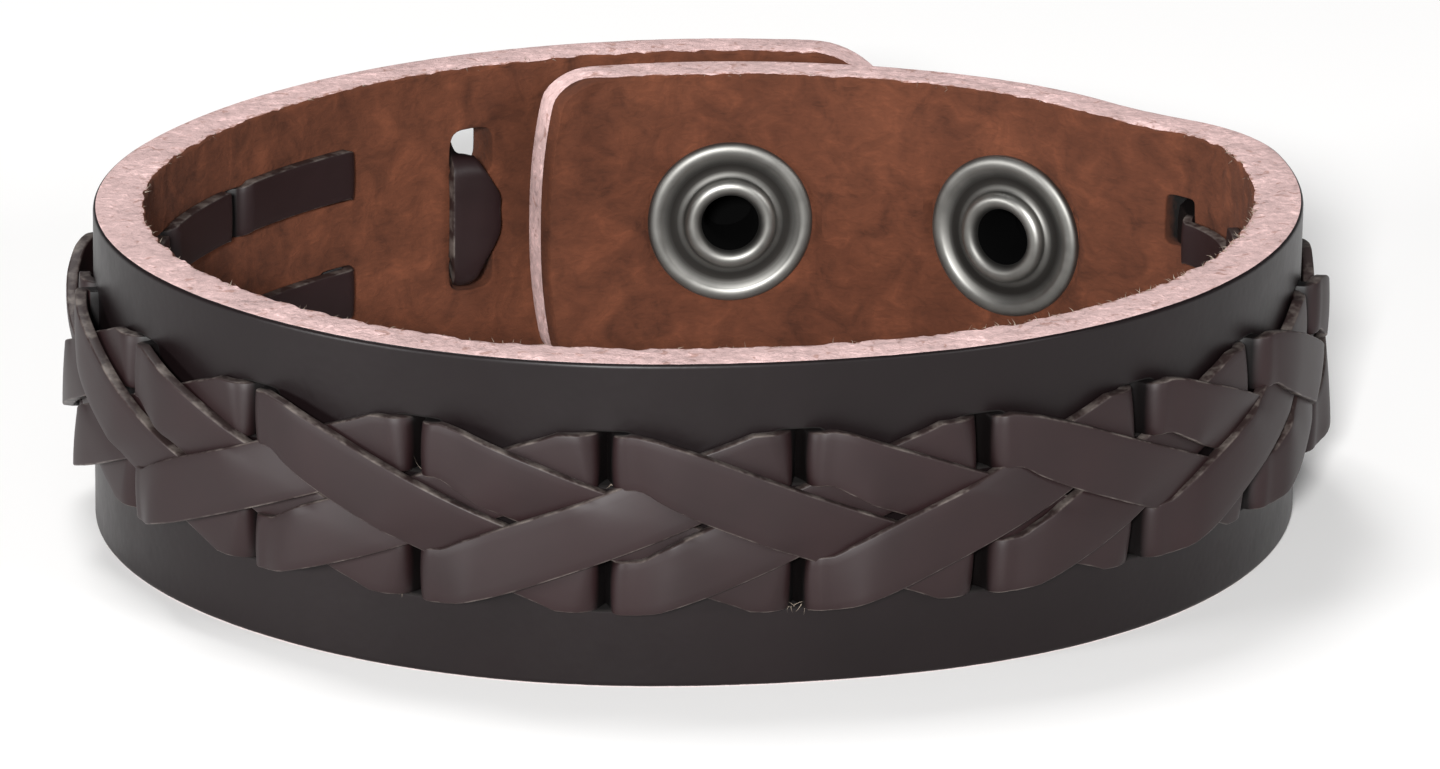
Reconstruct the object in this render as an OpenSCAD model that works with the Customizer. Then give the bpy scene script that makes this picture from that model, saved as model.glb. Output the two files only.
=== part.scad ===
// Leather bracelet: one thick strap bent to a closed loop and shut by a snap, with one flat
// lace braided through two rows of slots. It stands on the strap's lower edge, +Z up, with the
// braid at the front (-Y) and the snap at the back (+Y). Millimetres.

/* [Strap] */
// Width of the strap, which is the height of the bracelet as it stands
strap_w = 19; // [17:0.5:22]
// Thickness of the strap leather
strap_t = 3; // [2.6:0.1:3.2]
// Radius of the two corners of the outer end
outer_corner = 6; // [3:0.5:8]
// Radius of the two corners of the inner end
inner_corner = 4; // [3:0.5:8]
// Radius of the slight bow of the inner end
inner_bow = 36; // [20:1:60]
// Space between the outer and the inner end where they overlap
overlap_gap = 2.2; // [2:0.1:3]

/* [Braid] */
// Number of slot pairs
slot_count = 16; // [16]
// Distance along the strap from its outer end to the first slot pair
slot_first = 29.6; // [29:0.1:30.5]
// Distance along the strap from slot to slot
slot_pitch = 10.7; // [10.6:0.1:10.8]
// Width of a slot, along the strap
slot_w = 3; // [2.8:0.1:3.2]
// Height of a slot, across the strap
slot_h = 2.9; // [2.8:0.1:3.1]
// Distance of both slot rows from the middle of the braid
row_offset = 3.65; // [3.6:0.05:3.8]
// Height of the middle of the braid above the middle of the strap
braid_rise = 0.3; // [0:0.1:0.5]
// Width of the lace
lace_w = 3.6; // [3.2:0.1:3.7]
// Thickness of the lace
lace_t = 0.8; // [0.6:0.1:0.9]
// Width of the bevel along both edges of the lace
lace_bevel = 0.5; // [0.4:0.05:0.7]
// Space that each layer of lace keeps from what is under it
lace_gap = 0.12; // [0.08:0.01:0.15]
// Length of the two tails of the lace behind the last slots
tail_length = 8; // [4:0.5:8.5]

/* [Snap] */
// Distance along the strap to the stud that is snapped shut
snap_at = 223; // [222:0.5:224]
// Distance along the strap to the spare stud
spare_at = 203.5; // [203:0.5:205]
// Height of the spare stud above the middle of the strap
spare_rise = 0.5; // [0:0.1:0.8]
// Diameter of the domed cap
cap_d = 12.5; // [11:0.5:13]
// Diameter of the flange of an eyelet, on the flesh side
eyelet_d = 10.2; // [9.6:0.1:10.4]
// Diameter of the base of a stud
stud_base_d = 9.5; // [9:0.5:10]
// Diameter of the head of a stud
stud_head_d = 5.2; // [5:0.1:5.4]
// Diameter of the socket's ring
socket_d = 10.4; // [10:0.2:11]

/* [Hidden] */
$fn = 96;

// Plan of the strap's outer face, from its outer end round the left side, the front and the
// right side to its inner end: one tangent arc a row. A negative row bends the other way.
ARC_R = 0;
ARC_SWEEP = 1;
PLAN = [
    [40, 81],
    [29, 57],
    [32.5, 58],
    [52, 17],
    [34, 83],
    [11, 46],
    [-25, -14],
    [23, 21],
    [40 - strap_t - overlap_gap, 48.5],
];
plan_start = [12.7, 32.1];
plan_heading = 167;

// Running values of the plan: heading, distance and point at the start of each row
function heading_at(i) = i == 0 ? plan_heading : heading_at(i - 1) + PLAN[i - 1][ARC_SWEEP];
function arc_length(i) = PLAN[i][ARC_R] * PLAN[i][ARC_SWEEP] * PI / 180;
function distance_at(i) = i == 0 ? 0 : distance_at(i - 1) + arc_length(i - 1);
function left_of(h) = [-sin(h), cos(h)];
function point_at(i) = i == 0 ? plan_start
    : point_at(i - 1) + PLAN[i - 1][ARC_R] * (left_of(heading_at(i - 1)) - left_of(heading_at(i)));
rows = len(PLAN);
row_heading = [for (i = [0:rows - 1]) heading_at(i)];
row_distance = [for (i = [0:rows]) distance_at(i)];
row_centre = [for (i = [0:rows - 1]) point_at(i) + PLAN[i][ARC_R] * left_of(row_heading[i])];
strap_length = row_distance[rows];

// Row, heading and place at a distance s along the strap's outer face
function row_of(s, i = 0) = i == rows - 1 || s < row_distance[i + 1] ? i : row_of(s, i + 1);
function heading_of(s) = let (i = row_of(s))
    row_heading[i] + (s - row_distance[i]) / PLAN[i][ARC_R] * 180 / PI;
function place_of(s, out) = let (i = row_of(s))
    row_centre[i] - (PLAN[i][ARC_R] + out) * left_of(heading_of(s));
// Point at distance s along the strap, height z, and out from the outer face
function on_face(s, z, out) = let (p = place_of(s, out)) [p[0], p[1], z];

// Frame at distance s and height z: X out of the strap, Y along it, Z up
module at_strap(s, z = 0) {
    p = place_of(s, 0);
    translate([p[0], p[1], z]) rotate([0, 0, heading_of(s) - 90]) children();
}

mid_z = strap_w / 2;
braid_z = mid_z + braid_rise;
spare_z = mid_z + spare_rise;
cut = 1;
hardware = "#8c8882";

// One arc of the strap, seen from above. It laps a little over its neighbours, and every
// second arc is a hair thinner, so that they join in a clean step.
joint_lap = 0.1;
joint_step = 0.01;
function ray(angle, length) = length * [cos(angle), sin(angle)];
module strap_arc(i) {
    r = PLAN[i][ARC_R];
    lap = joint_lap / abs(r) * 180 / PI;
    before = i == 0 ? 0 : lap;
    after = i == rows - 1 ? 0 : lap;
    thin = i % 2 == 1 ? joint_step : 0;
    sweep = abs(PLAN[i][ARC_SWEEP]) + before + after;
    from = r > 0 ? row_heading[i] - 90 - before : row_heading[i] + PLAN[i][ARC_SWEEP] + 90 - after;
    inside = (r > 0 ? r - strap_t : -r) + thin;
    outside = inside + strap_t - 2 * thin;
    translate(row_centre[i]) difference() {
        intersection() {
            circle(outside);
            polygon([[0, 0], ray(from, 2 * outside), ray(from + sweep / 2, 2 * outside),
                ray(from + sweep, 2 * outside)]);
        }
        circle(inside);
    }
}
module strap_band(first, last) {
    linear_extrude(strap_w) for (i = [first:last]) strap_arc(i);
}

// What the shape of an end takes off, drawn along +X up to the end. The corner circles reach a hair
// past the edges of the strap, so that they cut them cleanly.
corner_past = 0.02;
module end_waste(corner, bow = 0) {
    corner_y = mid_z - corner + corner_past;
    difference() {
        translate([0, -mid_z - cut]) square([corner + cut, strap_w + 2 * cut]);
        intersection() {
            union() {
                for (side = [-1, 1]) translate([0, side * corner_y]) circle(corner);
                translate([-corner, -corner_y]) square([2 * corner, 2 * corner_y]);
            }
            if (bow > 0) translate([corner - bow, 0]) circle(bow, $fn = 360);
            else square([2 * corner, strap_w + 2 * cut], center = true);
        }
    }
}

// The same waste as a prism across the strap; along is 1 for the inner end and -1 for the outer
module end_cut(along, corner, bow = 0) {
    rotate([90, 0, 90]) linear_extrude(2 * strap_t + 4 * cut, center = true)
        mirror([along < 0 ? 1 : 0, 0]) end_waste(corner, bow);
}

function slot_at(k) = slot_first + k * slot_pitch;

module slots() {
    for (k = [0:slot_count - 1], row = [-1, 1]) at_strap(slot_at(k), braid_z + row * row_offset)
        translate([-strap_t / 2, 0, 0]) cube([strap_t + 2 * cut, slot_w, slot_h], center = true);
}

// Snap, set out along its own axis: 0 is the outer face of the inner end, + is outwards
cap_seat = 0.3;
stud_seat = 0.15;
seat_room = 0.1;
outer_face = overlap_gap + strap_t;
socket_hole_r = 3.2;
eyelet_hole_r = 2;

// Cylinder of radius r along X from x0 to x1
module along_x(r, x0, x1) {
    translate([x0, 0, 0]) rotate([0, 90, 0]) cylinder(r = r, h = x1 - x0);
}

// Holes and flat seats that the snap needs in the leather
module snap_cuts() {
    at_strap(snap_at, mid_z) {
        along_x(socket_hole_r, overlap_gap - cut, outer_face + cut);
        along_x(cap_d / 2 + seat_room, outer_face - cap_seat, outer_face + cut);
        along_x(socket_d / 2 + seat_room, overlap_gap - cut, overlap_gap);
    }
    for (at = [[snap_at, mid_z], [spare_at, spare_z]]) at_strap(at[0], at[1]) {
        along_x(eyelet_hole_r, -strap_t - cut, cut);
        along_x(stud_base_d / 2 + seat_room, -stud_seat, cut);
        along_x(eyelet_d / 2 + seat_room, -strap_t - cut, -strap_t);
    }
}

module strap() {
    color("#463a37") difference() {
        union() {
            difference() {
                strap_band(0, rows - 2);
                at_strap(outer_corner, mid_z) end_cut(-1, outer_corner);
            }
            difference() {
                strap_band(rows - 1, rows - 1);
                at_strap(strap_length - inner_corner, mid_z) end_cut(1, inner_corner, inner_bow);
            }
        }
        slots();
        snap_cuts();
    }
}

// Lace. A strand runs over the outer face from slot k to slot k + 2 and changes rows, then goes
// back behind the strap to slot k + 1. Strands leave in the upper layer and arrive in the lower.
strand_count = slot_count - 2;
slot_side = 0.15;
slot_squeeze = (slot_h - 2 * lace_gap) / lace_w;
lace_side = slot_w / 2 - slot_side - lace_t / 2;
lace_turn = 0.55;
low = lace_gap + lace_t / 2;
high = low + lace_t + lace_gap;
behind = -strap_t - low;
run_from = lace_side + lace_turn;
run_to = 2 * slot_pitch - run_from;
run_ease = 0.04;
slope = atan(2 * row_offset / ((1 - run_ease) * (run_to - run_from)));
// Where a strand dips from the upper to the lower layer: late on one half of the lace, early on
// the other, so that each strand passes over and under the others in turn
late_dip = 1.25 * slot_pitch;
early_dip = 0.75 * slot_pitch;
dip_half = 0.82;

// Share of the way across, eased a little at both ends
function eased(x) = x < run_ease ? x * x / (2 * run_ease * (1 - run_ease))
    : x > 1 - run_ease ? 1 - eased(1 - x)
    : (x - run_ease / 2) / (1 - run_ease);

// Outline of the lace: across, through
half_w = lace_w / 2;
flat_w = half_w - lace_bevel;
half_t = lace_t / 2;
OUTLINE = [[half_w, 0], [flat_w, half_t], [0, half_t], [-flat_w, half_t],
    [-half_w, 0], [-flat_w, -half_t], [0, -half_t], [flat_w, -half_t]];

// One ring of the lace: centre, across and through are vectors along the strap, up and outwards
function ring(centre, across, through) = [for (q = OUTLINE)
    centre + q[0] * across + q[1] * through];
function flat_ring(s, z, out, turn) = ring([s, z, out], [0, 1, 0], [-sin(turn), 0, cos(turn)]);
// In a slot the lace stands upright and is squeezed; half way through it swells until the two
// strands in the slot all but meet
function slot_ring(s, z, out, turn, swell = 1) =
    ring([s, z, out], [0, slot_squeeze, 0], [-sin(turn), 0, 0] * swell);
swell_t = slot_w / 2 - slot_side - lace_gap / 2;
swollen_side = (lace_gap + swell_t) / 2;

// A strand narrows to this share of its width at both ends, over this share of its run
end_width = 0.85;
end_taper = 0.2;

// Rings of a strand on the outer face. They lie along the strands that it crosses where it dips.
function stations(dip) = let (early = dip < slot_pitch, m = early ? 4 : 6, n = early ? 6 : 4)
    concat([for (i = [0:m - 1]) run_from + (dip - dip_half - run_from) * i / (m - 1)],
        [for (i = [0:n - 1]) dip + dip_half + (run_to - dip - dip_half) * i / (n - 1)]);
function run_ring(s0, side, u, dip) = let (
        x = (u - run_from) / (run_to - run_from),
        skew = max(0, min(1, 1 - (abs(u - dip) - 1) / 4)),
        width = min(1, end_width + (1 - end_width) * min(x, 1 - x) / end_taper),
        pitch_angle = x <= 0 || x >= 1 ? 0 : slope,
        along = skew / (2 * sin(slope)))
    ring([s0 + u, side * row_offset * (1 - 2 * eased(x)), u < dip ? high : low],
        [side * along, (1 - along * sin(pitch_angle)) / cos(pitch_angle), 0] * width, [0, 0, 1]);

// Rings of strand k: out through its slot, over the face, in through its slot, back behind
function strand(k, dip) = let (
        s0 = slot_at(k),
        s1 = slot_at(k + 2),
        side = k % 2 == 0 ? 1 : -1,
        z0 = side * row_offset,
        tail = k == strand_count - 1,
        back_to = tail ? s1 - run_from - tail_length : slot_at(k + 1) + run_from)
    concat(
        [slot_ring(s0 + lace_side, z0, behind + lace_turn, 90),
            slot_ring(s0 + swollen_side, z0, -strap_t / 2, 90, swell_t / lace_t),
            slot_ring(s0 + lace_side, z0, high - lace_turn, 90)],
        [for (u = stations(dip)) run_ring(s0, side, u, dip)],
        [slot_ring(s1 - lace_side, -z0, low - lace_turn, -90),
            slot_ring(s1 - swollen_side, -z0, -strap_t / 2, -90, swell_t / lace_t),
            slot_ring(s1 - lace_side, -z0, behind + lace_turn, -90)],
        [for (t = [0:0.5:1]) flat_ring((s1 - run_from) * (1 - t) + back_to * t, -z0, behind, 180)]);

// Half of the run behind the first slot pair. It turns the lace by a third of a turn about the
// diagonal of the three directions: flat between the slots, upright in them. One edge runs
// straight from slot to slot, and each ring just clears the leather.
first_flat = 1.2;
first_gap = 0.2;
function diagonal_turn(v, a) = let (n = [1, 1, 1] / sqrt(3))
    v * cos(a) + cross(n, v) * sin(a) + n * (n * v) * (1 - cos(a));
function first_run() = [for (t = [0:0.2:0.8]) let (
        across = diagonal_turn([1, 0, 0], 120 * t),
        through = diagonal_turn([0, 0, -1], 120 * t),
        reach = [for (axis = [0:2]) abs(across[axis]) * half_w + abs(through[axis]) * half_t])
    ring([slot_at(0) + lace_side + half_t - reach[0],
            first_flat + (row_offset - first_flat) * sin(90 * t),
            -strap_t - first_gap - reach[2]], across, through)];

// Half of the lace, from behind the first slot pair to its tail. The other half mirrors the rows.
function half_lace(dip) = concat(first_run(),
    [for (k = [0:strand_count - 1]) for (r = strand(k, dip)) r]);
function mirrored(rings) = [for (r = rings) [for (q = r) [q[0], -q[1], q[2]]]];
function reversed(list) = [for (i = [len(list) - 1:-1:0]) list[i]];

module lace() {
    rings = concat(reversed(mirrored(half_lace(early_dip))), half_lace(late_dip));
    n = len(OUTLINE);
    last = (len(rings) - 1) * n;
    points = [for (r = rings, q = r) on_face(q[0], braid_z + q[1], q[2])];
    walls = [for (i = [0:len(rings) - 2], j = [0:n - 1]) let (
            a = i * n + j, b = i * n + (j + 1) % n)
        each [[a, b + n, b], [a, a + n, b + n]]];
    ends = [for (j = [1:n - 2]) each [[0, j, j + 1], [last, last + j + 1, last + j]]];
    color("#4b4141") polyhedron(points = points, faces = concat(walls, ends));
}

// Domed cap on the outer end, with the post that holds the socket
cap_rim = 0.6;
cap_rise = 1.7;
cap_post_r = 1.6;
socket_top = overlap_gap + 1.4;
module snap_cap() {
    seat = outer_face - cap_seat;
    dome_r = (pow(cap_d / 2, 2) + pow(cap_rise, 2)) / (2 * cap_rise);
    color(hardware) at_strap(snap_at, mid_z) rotate([0, 90, 0]) rotate_extrude() union() {
        translate([0, seat]) square([cap_d / 2, cap_rim]);
        translate([0, socket_top]) square([cap_post_r, seat - socket_top]);
        intersection() {
            translate([0, seat + cap_rim + cap_rise - dome_r]) circle(dome_r, $fn = 360);
            translate([0, seat + cap_rim / 2]) square([cap_d / 2, cap_rise + cap_rim]);
        }
    }
}

// Socket between the two ends: a rolled ring and a cup that holds the head of the stud
socket_from = 0.65;
socket_cavity_r = stud_head_d / 2 + 0.1;
socket_plate = 0.45;
module snap_socket() {
    color(hardware) at_strap(snap_at, mid_z) rotate([0, 90, 0]) rotate_extrude() difference() {
        union() {
            translate([0, socket_from]) square([socket_d / 2, overlap_gap - socket_from]);
            translate([0, overlap_gap / 2])
                square([socket_hole_r - seat_room, socket_top - overlap_gap / 2]);
        }
        translate([-cut, socket_from - cut])
            square([socket_cavity_r + cut, socket_top - socket_plate - socket_from + cut]);
    }
}

// Stud on the grain side: base, neck and head, hollow from below
stud_base_t = 0.5;
stud_neck = 1.2;
stud_top = 3;
stud_bore_r = 1.95;
stud_wall = 0.5;
head_round = 0.5;
module stud(s, z) {
    head_r = stud_head_d / 2;
    color(hardware) at_strap(s, z) rotate([0, 90, 0]) rotate_extrude() difference() {
        union() {
            translate([0, -stud_seat]) square([stud_base_d / 2, stud_base_t]);
            translate([0, -stud_seat]) square([head_r - 0.25, stud_top - head_round]);
            translate([0, stud_neck]) square([head_r, stud_top - head_round - stud_neck]);
            translate([0, stud_top - 2 * head_round]) square([head_r - head_round, 2 * head_round]);
            translate([head_r - head_round, stud_top - head_round]) circle(head_round);
        }
        translate([-cut, -stud_seat - cut])
            square([stud_bore_r + cut, stud_top - stud_wall + stud_seat + cut]);
    }
}

// Eyelet on the flesh side: round rim, groove, raised bead and a tube through the leather
tube_r = 1.85;
tube_bore_r = 1.6;
tube_into_stud = 1;
bead_r = 2.5;
bead_half = 0.6;
rim_half = 0.5;
flange_t = 0.35;
module eyelet(s, z) {
    rim_r = eyelet_d / 2 - rim_half;
    color(hardware) at_strap(s, z) translate([-strap_t, 0, 0]) rotate([0, -90, 0])
        rotate_extrude() union() {
            intersection() {
                union() {
                    square([rim_r, flange_t]);
                    translate([bead_r, flange_t]) circle(bead_half);
                    translate([rim_r, flange_t / 2]) circle(rim_half);
                }
                translate([tube_bore_r, 0]) square([eyelet_d, strap_t]);
            }
            translate([tube_bore_r, -strap_t - tube_into_stud])
                square([tube_r - tube_bore_r, strap_t + tube_into_stud + flange_t]);
        }
}

strap();
lace();
snap_cap();
snap_socket();
stud(snap_at, mid_z);  // stud_fastened
stud(spare_at, spare_z);  // stud_spare
eyelet(snap_at, mid_z);  // eyelet_fastened
eyelet(spare_at, spare_z);  // eyelet_spare
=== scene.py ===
"""Leather bracelet: one thick strap bent to a closed loop, a flat lace braided through it, and a
snap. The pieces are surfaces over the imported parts, in the same frame, in metres."""

import math

import bmesh
import bpy
import numpy as np
from bpy.props import FloatProperty, FloatVectorProperty, IntProperty, PointerProperty
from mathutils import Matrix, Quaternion, Vector


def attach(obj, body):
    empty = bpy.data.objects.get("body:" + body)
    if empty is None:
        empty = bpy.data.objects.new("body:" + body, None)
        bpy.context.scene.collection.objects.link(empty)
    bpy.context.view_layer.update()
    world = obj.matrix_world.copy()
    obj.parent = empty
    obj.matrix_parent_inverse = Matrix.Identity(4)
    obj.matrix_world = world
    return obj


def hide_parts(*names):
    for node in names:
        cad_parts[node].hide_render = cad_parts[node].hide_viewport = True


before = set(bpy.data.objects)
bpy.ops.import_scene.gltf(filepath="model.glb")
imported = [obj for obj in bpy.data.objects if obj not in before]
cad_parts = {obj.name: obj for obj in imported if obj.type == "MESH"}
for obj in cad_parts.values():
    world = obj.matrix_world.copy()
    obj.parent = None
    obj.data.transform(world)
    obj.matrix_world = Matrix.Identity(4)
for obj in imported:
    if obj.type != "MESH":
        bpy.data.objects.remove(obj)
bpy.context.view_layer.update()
MM = 0.001

bl_info = {
    "name": "Leather Bracelet",
    "version": (1, 0, 0),
    "blender": (4, 5, 0),
    "location": "View3D > Sidebar > Bracelet",
    "description": "Builds a braided leather bracelet with its snap, and a studio around it",
    "category": "Add Mesh",
}


# Settings

def size(name, text, millimetres):
    """A length that a user may change, kept in metres."""
    return FloatProperty(name=name, description=text, default=millimetres * MM, unit="LENGTH",
                         subtype="DISTANCE", precision=5)


def colour(name, text, hexa):
    """A colour that a user may change, from an sRGB hex value."""
    return FloatVectorProperty(name=name, description=text, default=linear(hexa)[:3], size=3,
                               min=0.0, max=1.0, subtype="COLOR")


def linear(hexa):
    """sRGB hex to linear RGBA: each channel below 0.04045 is divided by 12.92, the rest is
    ((c + 0.055) / 1.055) to the power 2.4."""
    c = np.array([int(hexa[i:i + 2], 16) for i in (1, 3, 5)]) / 255
    low = c / 12.92
    return tuple(np.where(c <= 0.04045, low, ((c + 0.055) / 1.055) ** 2.4)) + (1.0,)


class StrapSettings(bpy.types.PropertyGroup):
    """Sizes and colours of the strap"""
    thickness: size("Thickness", "Thickness of the strap leather", 3.0)
    width: size("Width", "Width of the strap, its height as it stands", 19.0)
    overlap_gap: size("Overlap gap", "Space between the two ends where they overlap", 2.2)
    outer_corner: size("Outer corner", "Radius of the two corners of the outer end", 6.0)
    inner_corner: size("Inner corner", "Radius of the two corners of the inner end", 4.0)
    inner_bow: size("Inner bow", "Radius of the slight bow of the inner end", 36.0)
    edge: size("Edge", "How far the edge of the leather is rounded over", 0.3)
    slot_count: IntProperty(name="Slot pairs", description="Number of slot pairs", default=16)
    slot_first: size("First slot", "Distance from the outer end to the first slot pair", 29.6)
    slot_pitch: size("Slot pitch", "Distance from slot to slot", 10.7)
    slot_width: size("Slot width", "Width of a slot along the strap", 3.0)
    slot_height: size("Slot height", "Height of a slot across the strap", 3.1)
    row_offset: size("Row offset", "Distance of both slot rows from the braid's middle", 3.65)
    braid_rise: size("Braid rise", "Height of the braid's middle above the strap's middle", 0.3)
    grain: colour("Grain", "Colour of the finished outer face", "#110A0B")
    flesh: colour("Flesh", "Colour of the raw inner face", "#57301F")
    rim: colour("Cut edge", "Colour of the raw cut edge", "#CEAFAC")


class LaceSettings(bpy.types.PropertyGroup):
    """Sizes and colour of the lace"""
    width: size("Width", "Width of the lace", 3.6)
    thickness: size("Thickness", "Thickness of the lace", 0.8)
    bevel: size("Edge", "Radius of the rounding along its edges", 0.12)
    gap: size("Gap", "Space between a layer of lace and what is under it", 0.08)
    tail: size("Tail", "Length of the two tails behind the last slots", 8.0)
    dye: colour("Dye", "Colour of the lace", "#1D0E0F")


class SnapSettings(bpy.types.PropertyGroup):
    """Places, sizes and colour of the snap's pieces"""
    fastened_at: size("Fastened stud", "Distance along the strap to the stud in use", 223.0)
    spare_at: size("Spare stud", "Distance along the strap to the spare stud", 203.5)
    spare_rise: size("Spare rise", "Height of the spare stud above the strap's middle", 0.5)
    cap: size("Cap", "Diameter of the domed cap", 12.5)
    eyelet: size("Eyelet", "Diameter of the flange of an eyelet", 10.2)
    base: size("Stud base", "Diameter of the base of a stud", 9.5)
    head: size("Stud head", "Diameter of the head of a stud", 5.2)
    socket: size("Socket", "Diameter of the socket's ring", 10.4)
    metal: colour("Metal", "Colour of the plated brass", "#8F8E8A")


class StudioSettings(bpy.types.PropertyGroup):
    """The camera's place and the floor's colour"""
    elevation: FloatProperty(name="Elevation", description="Angle that the camera looks down by",
                             default=math.radians(18.04), subtype="ANGLE")
    distance: size("Distance", "Distance of the camera from the bracelet", 494.5)
    lens: FloatProperty(name="Lens", description="Focal length of the camera in millimetres",
                        default=210.52)
    floor: colour("Floor", "Colour of the studio floor", "#F7F6F5")


def settings(group):
    """The values of one group, as the user has left them."""
    return getattr(bpy.context.scene, "bracelet_" + group)


def mm(group, name):
    """A length setting in millimetres, which all the shapes are worked out in."""
    return round(getattr(settings(group), name) / MM, 6)


# The plan of the strap

# One tangent arc a row: radius in mm and turn in degrees, along the strap's outer face from its
# outer end. A negative row bends the other way. The last radius is set by the overlap.
ARCS = ((40, 81), (29, 57), (32.5, 58), (52, 17), (34, 83), (11, 46), (-25, -14), (23, 21),
        (None, 48.5))
PLAN_START = (12.7, 32.1)
PLAN_HEADING = 167


def left_of(heading):
    """Unit vector to the left of a heading: minus its sine, and its cosine."""
    return np.stack([-np.sin(heading), np.cos(heading)], -1)


class Plan:
    """Running values of the arcs. A point at distance s and out from the outer face is the arc's
    centre minus (radius + out) times the unit vector to the left of the heading there."""

    def __init__(self):
        first = ARCS[0][0]
        inner = first - mm("strap", "thickness") - mm("strap", "overlap_gap")
        self.radius = np.array([a[0] or inner for a in ARCS], float)
        turn = np.radians([a[1] for a in ARCS])
        self.heading = math.radians(PLAN_HEADING) + np.concatenate([[0], np.cumsum(turn)])
        self.distance = np.concatenate([[0], np.cumsum(self.radius * turn)])
        left = left_of(self.heading)
        steps = self.radius[:, None] * (left[:-1] - left[1:])
        start = np.array(PLAN_START) + np.vstack([[0, 0], np.cumsum(steps, 0)])
        self.centre = start[:-1] + self.radius[:, None] * left[:-1]
        self.length = self.distance[-1]

    def heading_at(self, s):
        """The arc at distance s, and the heading there: that at the arc's start, plus the
        distance into the arc over its radius."""
        i = np.clip(np.searchsorted(self.distance, s, "right") - 1, 0, len(self.radius) - 1)
        return i, self.heading[i] + (s - self.distance[i]) / self.radius[i]

    def covering(self, s):
        """Distance along the strap of the place on the outer end that lies over s."""
        return (self.heading_at(np.array(s))[1] - 2 * np.pi - self.heading[0]) * self.radius[0]

    def bend(self, place):
        """Points given as (s, z, out) in mm, to the row frame in metres."""
        s, z, out = np.moveaxis(np.asarray(place, float), -1, 0)
        i, heading = self.heading_at(s)
        flat = self.centre[i] - (self.radius[i] + out)[..., None] * left_of(heading)
        return np.concatenate([flat, z[..., None]], -1) * MM


def eased(x):
    """Smooth step: 3x^2 - 2x^3 between 0 and 1."""
    x = np.clip(x, 0, 1)
    return x * x * (3 - 2 * x)


def rough(place, grain, seed, waves=24):
    """A random field of unit size: the sum of plane waves in seeded directions, scaled by the
    root of 2 / waves. They are 0.7 to 1.6 times grain long, in mm."""
    rng = np.random.default_rng(seed)
    way = rng.normal(size=(waves, 3))
    way /= np.linalg.norm(way, axis=1, keepdims=True)
    way *= (2 * np.pi / (grain * rng.uniform(0.7, 1.6, waves)))[:, None]
    phase = rng.uniform(0, 2 * np.pi, waves)
    return np.sin(np.asarray(place) @ way.T + phase).sum(-1) * math.sqrt(2 / waves)


# Meshes from grids

def quads(rows, columns, around=False):
    """Corners of the cells of a grid of points, row by row. Around joins the last column to the
    first one."""
    j = np.arange(columns if around else columns - 1)
    a = np.arange(rows - 1)[:, None] * columns + j
    b = np.arange(rows - 1)[:, None] * columns + (j + 1) % columns
    return np.stack([a, b, b + columns, a + columns], -1)


class Shell:
    """Collects grids of points with a material each, and welds them to one closed mesh."""

    def __init__(self):
        self.points, self.faces, self.finish, self.count = [], [], [], 0

    def add(self, grid, finish=0, keep=None, around=False):
        """Takes a grid of rows and columns of points. Keep marks the cells that stay."""
        rows, columns = grid.shape[:2]
        cells = quads(rows, columns, around)
        cells = cells[keep] if keep is not None else cells.reshape(-1, 4)
        self.points.append(grid.reshape(-1, 3))
        self.faces.append(cells + self.count)
        self.finish.append(np.full(len(cells), finish))
        self.count += rows * columns

    def welded(self, reach=1e-4):
        """Points that round to the same multiple of reach become one, and cells that are left
        with fewer than three sides go."""
        points = np.concatenate(self.points)
        _, first, same = np.unique(np.round(points / reach).astype(np.int64), axis=0,
                                   return_index=True, return_inverse=True)
        faces = same.reshape(-1)[np.concatenate(self.faces)]
        finish = np.concatenate(self.finish)
        sides = (faces != np.roll(faces, 1, 1)).sum(1)
        whole = sides >= 3
        return points[first], faces[whole], finish[whole]


def make_object(name, points, faces, finish, materials, sharp=40, attribute=None):
    """A mesh object at the origin. Cells with a repeated corner become triangles, normals are
    turned outwards, and edges steeper than sharp degrees stay crisp."""
    mesh = bpy.data.meshes.new(name)
    kept = faces != np.roll(faces, -1, 1)
    sides, corners = kept.sum(1), faces[kept]
    mesh.vertices.add(len(points))
    mesh.vertices.foreach_set("co", np.asarray(points, np.float32).ravel())
    mesh.loops.add(len(corners))
    mesh.loops.foreach_set("vertex_index", corners.astype(np.int32))
    mesh.polygons.add(len(faces))
    mesh.polygons.foreach_set("loop_start", (np.cumsum(sides) - sides).astype(np.int32))
    mesh.polygons.foreach_set("material_index", np.asarray(finish, np.int32))
    mesh.update(calc_edges=True)
    if attribute is not None:
        layer = mesh.attributes.new("place", "FLOAT_VECTOR", "POINT")
        layer.data.foreach_set("vector", np.asarray(attribute, np.float32).ravel())
    for each in materials:
        mesh.materials.append(each)
    work = bmesh.new()
    work.from_mesh(mesh)
    bmesh.ops.recalc_face_normals(work, faces=work.faces)
    work.to_mesh(mesh)
    work.free()
    mesh.polygons.foreach_set("use_smooth", np.ones(len(mesh.polygons), bool))
    mesh.set_sharp_from_angle(angle=math.radians(sharp))
    mesh.update()
    piece = bpy.data.objects.new(name, mesh)
    bpy.context.scene.collection.objects.link(piece)
    return piece


def lines(marks, step):
    """Marks and evenly spaced lines between them, no further than step apart."""
    marks = np.unique(np.round(marks, 6))
    parts = [np.linspace(a, b, max(1, math.ceil((b - a) / step)), endpoint=False)
             for a, b in zip(marks[:-1], marks[1:])]
    return np.concatenate(parts + [marks[-1:]])


# Materials

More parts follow.
